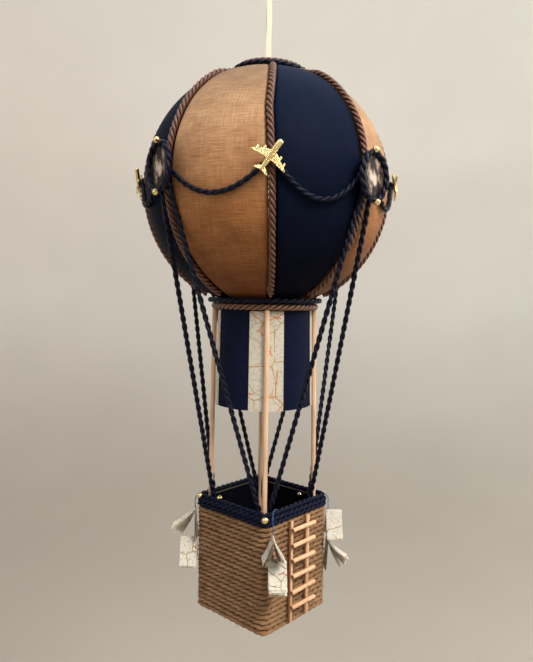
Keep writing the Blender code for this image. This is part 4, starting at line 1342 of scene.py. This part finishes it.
rimBeads = [  # in mm: middle from the ball's centre, radius, and the way its hole looks
    ((-30.7, 25.9, -195.4), 1.75, (-0.5, 0.2, 0.9)), ((-26.8, 11.8, -194.8), 1.75, (-0.2, -0.5, 0.85)),
    ((-30.6, -30.4, -197.2), 2.1, (-0.4, -0.2, 0.9)), ((25.7, -10.7, -199.7), 1.75, (-0.9, -0.4, 0.35)),
    ((30.6, -25.6, -196.3), 1.75, (0.2, 0.5, 0.8)), ((24.1, 24.0, -197.4), 1.8, (-0.5, -0.5, 0.7)),
    ((30.6, 30.4, -197.2), 2.1, (0.4, 0.4, 0.8)),
]


def makeRimBeads():
    spots = [(Vector(place) * mm + Vector((0, 0, ballRise)), Vector(axis), radius / 2)
             for place, radius, axis in rimBeads]
    mesh = beadMesh("rim_beads", spots, 2.0 * mm)
    addPiece("rim_beads", mesh, goldSmooth)


# Ladder on the basket's face
ladder = {
    "radius": 1.3 * mm, "railX": (-9.2 * mm, 6.5 * mm), "railTop": -202.3 * mm, "railBottom": -265.3 * mm,
    "railY": -32.6 * mm, "rungX": (-10.4 * mm, 11.4 * mm), "rungY": -34.8 * mm, "rungTop": -207.8 * mm,
    "rungStep": 9.6 * mm, "rungs": 6, "soft": 0.2 * mm, "tilt": 0.25, "uneven": 0.4,
}


def makeEndGrain():
    material, tree, shader = startMaterial("endGrain", Roughness=0.8)
    fine = addNoise(tree, objectPlace(tree), 2200.0, 3.0)
    tree.links.new(addRamp(tree, fine, (0.35, paint(120, 78, 50)), (0.65, paint(168, 122, 86))),
                   shader.inputs["Base Color"])
    return material


endGrain = makeEndGrain()


def makeLadder():
    d = ladder
    random.seed(3)
    sticks = [((x, d["railY"], d["railBottom"] + ballRise), (x, d["railY"], d["railTop"] + ballRise))
              for x in d["railX"]]
    for i in range(d["rungs"]):
        z = d["rungTop"] - i * d["rungStep"] + ballRise
        tilt = random.uniform(-d["tilt"], d["tilt"]) * mm
        left, right = (x + random.uniform(-d["uneven"], d["uneven"]) * mm for x in d["rungX"])
        sticks.append(((left, d["rungY"], z - tilt), (right, d["rungY"], z + tilt)))
    mesh = stickMesh("ladder_sticks", sticks, d["radius"], 16, d["soft"])
    piece = addPiece("ladder_sticks", mesh, [ladderWood, endGrain], replaces=["ladder"])
    for polygon in piece.data.polygons:  # the cut ends are darker
        nearEnd = min(abs(polygon.center.x - x) for x in d["rungX"]) < 0.7 * mm
        rungEnd = nearEnd and abs(polygon.normal.x) > 0.8
        railEnd = abs(polygon.normal.z) > 0.9 and len(polygon.vertices) > 8
        polygon.material_index = 1 if rungEnd or railEnd else 0


makeBasket()
makeRimBeads()
makeLadder()
print("basket and ladder done")


# Paper bundles: folded strips of map on a thread, each on its own hinge
bundle = {
    "threadOut": 43.255 * mm, "threadTop": -198.5 * mm, "threadStray": 0.2 * mm, "threadPast": 0.4 * mm,
    "width": 10.4 * mm, "strips": 8, "layer": 0.2 * mm, "paper": 0.14 * mm, "offset": 1.4 * mm,
    "bow": (4, 13), "loose": 1.5,  # degrees
    "hanging": (1, 3.5, 0.3),  # a leg beside the basket: least lean, how much more, and share of the bow
    # Side step of the thread, then the upper and the lower pack: whether its legs point away from the
    # basket, its drop, the legs' length, their two spreads, how far they fan and its own side step
    "sites": {
        "front_left": (4.5 * mm, ((False, 9 * mm, 14.6 * mm, (21, 24), 13, 0),
                                  (True, 24 * mm, 17.2 * mm, (1, 38), 15, 2.9 * mm))),
        "front_right": (0, ((False, 9.2 * mm, 17.2 * mm, (24, 24), 15, 0),
                            (True, 29 * mm, 17.8 * mm, (1, 46), 22, 0))),
        "back_right": (0, ((False, 9 * mm, 16 * mm, (24, 24), 15, 0),
                           (True, 24 * mm, 17.2 * mm, (1, 38), 17, 0))),
        "back_left": (0, ((True, 7.5 * mm, 18.2 * mm, (1, 48), 22, 0),
                          (False, 26.5 * mm, 17.2 * mm, (24, 27), 15, 0))),
    },
    # From the thread's top over the rim: to the side, inwards and up
    "overRim": ((0, 0, 0), (0, 1.2 * mm, 2.0 * mm), (0.2 * mm, 3.6 * mm, 4.1 * mm),
                (1.2 * mm, 6.8 * mm, 4.9 * mm), (2.4 * mm, 9.6 * mm, 4.4 * mm), (3.2 * mm, 11.6 * mm, 2.6 * mm),
                (3.4 * mm, 12.2 * mm, -2.0 * mm)),
}


def makeThreadMaterial(name, dark, light):
    material, tree, shader = startMaterial(name, Roughness=0.6)
    fibres = placeGroup(tree, fibreGroup, {"Vector": uvPlace(tree), "Around": 4.0, "Along": 0.8, "Slant": 0.8})
    tree.links.new(addRamp(tree, fibres["Fac"], (0.35, paint(*dark)), (0.65, paint(*light))),
                   shader.inputs["Base Color"])
    return material


blueThread = makeThreadMaterial("blueThread", (14, 52, 100), (40, 100, 160))
greyThread = makeThreadMaterial("greyThread", (38, 42, 58), (70, 76, 96))


def packStrips(bm, uv, pack, seed):  # strips bent over the thread, one on another
    b = bundle
    radial, drop, legLength, spreads, fan, step = pack
    least, more, calm = b["hanging"]
    random.seed(seed)
    for number in range(b["strips"]):
        share = number / (b["strips"] - 1)
        rise = b["layer"] * number
        shiftWide = random.uniform(-0.35, 0.35) * mm
        legs = []
        for sign, spread in zip((-1, 1), spreads):
            hangs = spread == 1  # beside the basket, where the leg has no room to spread
            stray = random.uniform(-b["loose"], b["loose"])
            lean = math.radians(least + more * share if hangs else spread - fan * (1 - share) + stray)
            bow = math.radians(random.uniform(*b["bow"])) * (calm if hangs else 1)
            leg = legLength * random.uniform(0.88, 1.03)
            side = []
            for i in range(9):
                t = i / 8
                turn = lean - bow * (1 - t) * 0.6 + bow * t * 0.5
                side.append(Vector((sign * (0.35 * mm + math.sin(turn) * leg * t), 0,
                                    rise * (1 - 0.3 * t) - math.cos(turn) * leg * t - 0.25 * mm * (t > 0))))
            legs.append(side)
        line = legs[0][::-1] + [Vector((0, 0, rise + 0.35 * mm))] + legs[1]
        halfWide = b["width"] / 2 * random.uniform(0.94, 1.0)
        twist = random.uniform(-0.05, 0.05)
        rows = []
        for k, point in enumerate(line):
            far = abs(k - len(line) // 2) / (len(line) // 2)
            rows.append([bm.verts.new(point + Vector((twist * far * s * 6 * mm, s * halfWide + shiftWide, 0)))
                         for s in (-1, 0, 1)])
        faces = []
        for k, (low, high) in enumerate(zip(rows, rows[1:])):
            for j in range(2):
                face = bm.faces.new((low[j], low[j + 1], high[j + 1], high[j]))
                for loop, place in zip(face.loops, ((k, j), (k, j + 1), (k + 1, j + 1), (k + 1, j))):
                    loop[uv].uv = (place[1] * 5.2 + seed * 17 + number * 41, place[0] * 2.1 + number * 23)
                faces.append(face)
        made = {v for row in rows for v in row}
        solid = bmesh.ops.solidify(bm, geom=faces, thickness=b["paper"])
        made |= {v for v in solid["geom"] if isinstance(v, bmesh.types.BMVert)}
        if radial:
            bmesh.ops.rotate(bm, matrix=Matrix.Rotation(math.radians(-90), 3, "Z"), verts=list(made))
        else:
            bmesh.ops.translate(bm, vec=(0, b["offset"] - b["width"] / 2, 0), verts=list(made))
        bmesh.ops.translate(bm, vec=(step, 0, -drop), verts=list(made))


def makeBundles():
    b = bundle
    for number, (name, (side, packs)) in enumerate(b["sites"].items()):
        azimuth = corners[name]
        top = around(azimuth, b["threadOut"], b["threadTop"], side)
        place = Matrix.Translation(top) @ Matrix.Rotation(math.radians(azimuth), 4, "Z")
        bm = bmesh.new()
        uv = bm.loops.layers.uv.new("UVMap")
        for which, pack in enumerate(packs):
            packStrips(bm, uv, pack, number * 2 + which + 1)
        bmesh.ops.transform(bm, matrix=place, verts=bm.verts)
        mesh = finishMesh(bm, f"paper_strips_{name}", 40)
        addPiece(mesh.name, mesh, bundlePaper, body=f"bundle_{name}",
                 replaces=[f"paper_bundle_{name}"])

        thread = greyThread if name == "back_left" else blueThread
        drop = [place @ Vector((b["threadStray"] * math.sin(z * 900), 0, -z))
                for z in np.linspace(0, packs[1][1] + b["threadPast"], 24)]
        mesh = twistedMesh(f"hanging_thread_{name}", drop, cords["thread"], smooth=False)
        addPiece(mesh.name, mesh, thread, body=f"bundle_{name}")

        over = [place @ Vector(spot) for spot in b["overRim"]]
        mesh = twistedMesh(f"rim_thread_{name}", over, cords["thread"])
        addPiece(mesh.name, mesh, thread)


makeBundles()
print("bundles done")


# Gold aeroplane charms: a rounded body, flat sparkling wings with engines, and a tail
charm = {  # the outlines, the windows and the ridges are in mm, with the nose towards +Y
    "height": 3.4 * mm, "side": -0.5, "thick": 0.88 * mm, "back": 79.9 * mm, "turn": 35.0, "soft": 0.22 * mm,
    "wings": ((1.2, 2.9), (2.1, 2.4), (4.05, 1.3), (4.15, 2.2), (4.5, 2.75), (5.1, 2.75), (5.45, 2.2),
              (5.55, 0.5), (7.35, -0.5), (7.45, 0.35), (7.8, 0.9), (8.35, 0.9), (8.7, 0.35), (8.8, -1.3),
              (9.8, -1.9), (10.4, -2.5), (10.45, -3.0), (9.9, -3.15), (2.2, -2.0), (1.2, -2.1)),
    "tail": ((0.8, -6.4), (2.1, -7.1), (4.0, -8.8), (4.2, -9.4), (3.7, -9.7), (0.8, -8.9)),
    "body": ((9.4, 0.1), (9.3, 0.8), (8.95, 1.25), (8.1, 1.6), (3.0, 1.75), (-2.0, 1.65), (-5.0, 1.35),
             (-7.6, 0.9), (-8.8, 0.5), (-9.1, 0.1)),  # along, radius
    "flatness": 0.75,
    "windows": ((-0.62, 8.2, 1.85), (0.0, 8.35, 1.95), (0.62, 8.2, 1.85)), "windowRadius": 0.28,
    # The first ridge's length, place and height, and how much less each next one has
    "ridges": 7, "ridgeRadius": 0.16, "ridge": (2.3, 3.4, 1.95), "ridgeStep": (0.12, 1.1, 0.02),
}
windowDark = startMaterial("windowDark", Roughness=0.35, Base_Color=paint(48, 34, 22))[0]


def wingsMesh():
    c = charm
    bm = bmesh.new()
    for outline in (c["wings"], c["tail"]):
        line = [*outline, *((-x, y) for x, y in reversed(outline))]
        face = bm.faces.new([bm.verts.new((x * mm, y * mm, 0)) for x, y in line])
        made = bmesh.ops.extrude_face_region(bm, geom=[face])
        lifted = [v for v in made["geom"] if isinstance(v, bmesh.types.BMVert)]
        bmesh.ops.translate(bm, vec=(0, 0, c["thick"]), verts=lifted)
        tops = [f for f in made["geom"] if isinstance(f, bmesh.types.BMFace)]
        soften(bm, list({e for f in tops for e in f.edges}), c["soft"])
    return finishMesh(bm, "wings", 40, turnOut=True)


def bodyMesh():
    c = charm
    bm = bmesh.new()
    spinRound(bm, [(radius * mm, y * mm, 0) for y, radius in c["body"]], 20, axis=(0, 1, 0))
    bmesh.ops.remove_doubles(bm, verts=bm.verts[:], dist=0.00001)
    bmesh.ops.holes_fill(bm, edges=bm.edges[:], sides=24)
    bmesh.ops.scale(bm, vec=(1, 1, c["flatness"]), verts=bm.verts)
    bmesh.ops.translate(bm, vec=(0, 0, c["thick"]), verts=bm.verts)
    for i in range(c["ridges"]):  # little bars across the body's front half
        long, along, up = (size - step * i for size, step in zip(c["ridge"], c["ridgeStep"]))
        before = set(bm.verts)
        bmesh.ops.create_cone(bm, cap_ends=True, segments=8, radius1=c["ridgeRadius"] * mm,
                              radius2=c["ridgeRadius"] * mm, depth=long * mm)
        bar = [v for v in bm.verts if v not in before]
        bmesh.ops.rotate(bm, matrix=Matrix.Rotation(math.pi / 2, 3, "Y"), verts=bar)
        bmesh.ops.translate(bm, vec=(0, along * mm, up * mm), verts=bar)
    for spot in c["windows"]:
        before = set(bm.faces)
        made = bmesh.ops.create_uvsphere(bm, u_segments=8, v_segments=5, radius=c["windowRadius"] * mm)["verts"]
        bmesh.ops.translate(bm, vec=Vector(spot) * mm, verts=made)
        for face in bm.faces:
            if face not in before:
                face.material_index = 1
    return finishMesh(bm, "body", 50, turnOut=True)


def makeCharms():
    c = charm
    for name, azimuth in cornerSeams.items():
        place = (
            Matrix.Translation(around(azimuth + c["side"], c["back"], c["height"]))
            @ Matrix.Rotation(math.radians(azimuth + c["side"]), 4, "Z")
            @ Matrix.Rotation(math.pi / 2, 4, "X") @ Matrix.Rotation(math.radians(-c["turn"]), 4, "Z")
        )
        wings, body = wingsMesh(), bodyMesh()
        for mesh, label, finish in ((wings, "wings", goldRough), (body, "body", [goldSmooth, windowDark])):
            mesh.transform(place)
            mesh.name = f"charm_{label}_{name}"
            addPiece(mesh.name, mesh, finish, replaces=[f"plane_{name}"])


makeCharms()
print("charms done")


# The end
print("scene done")
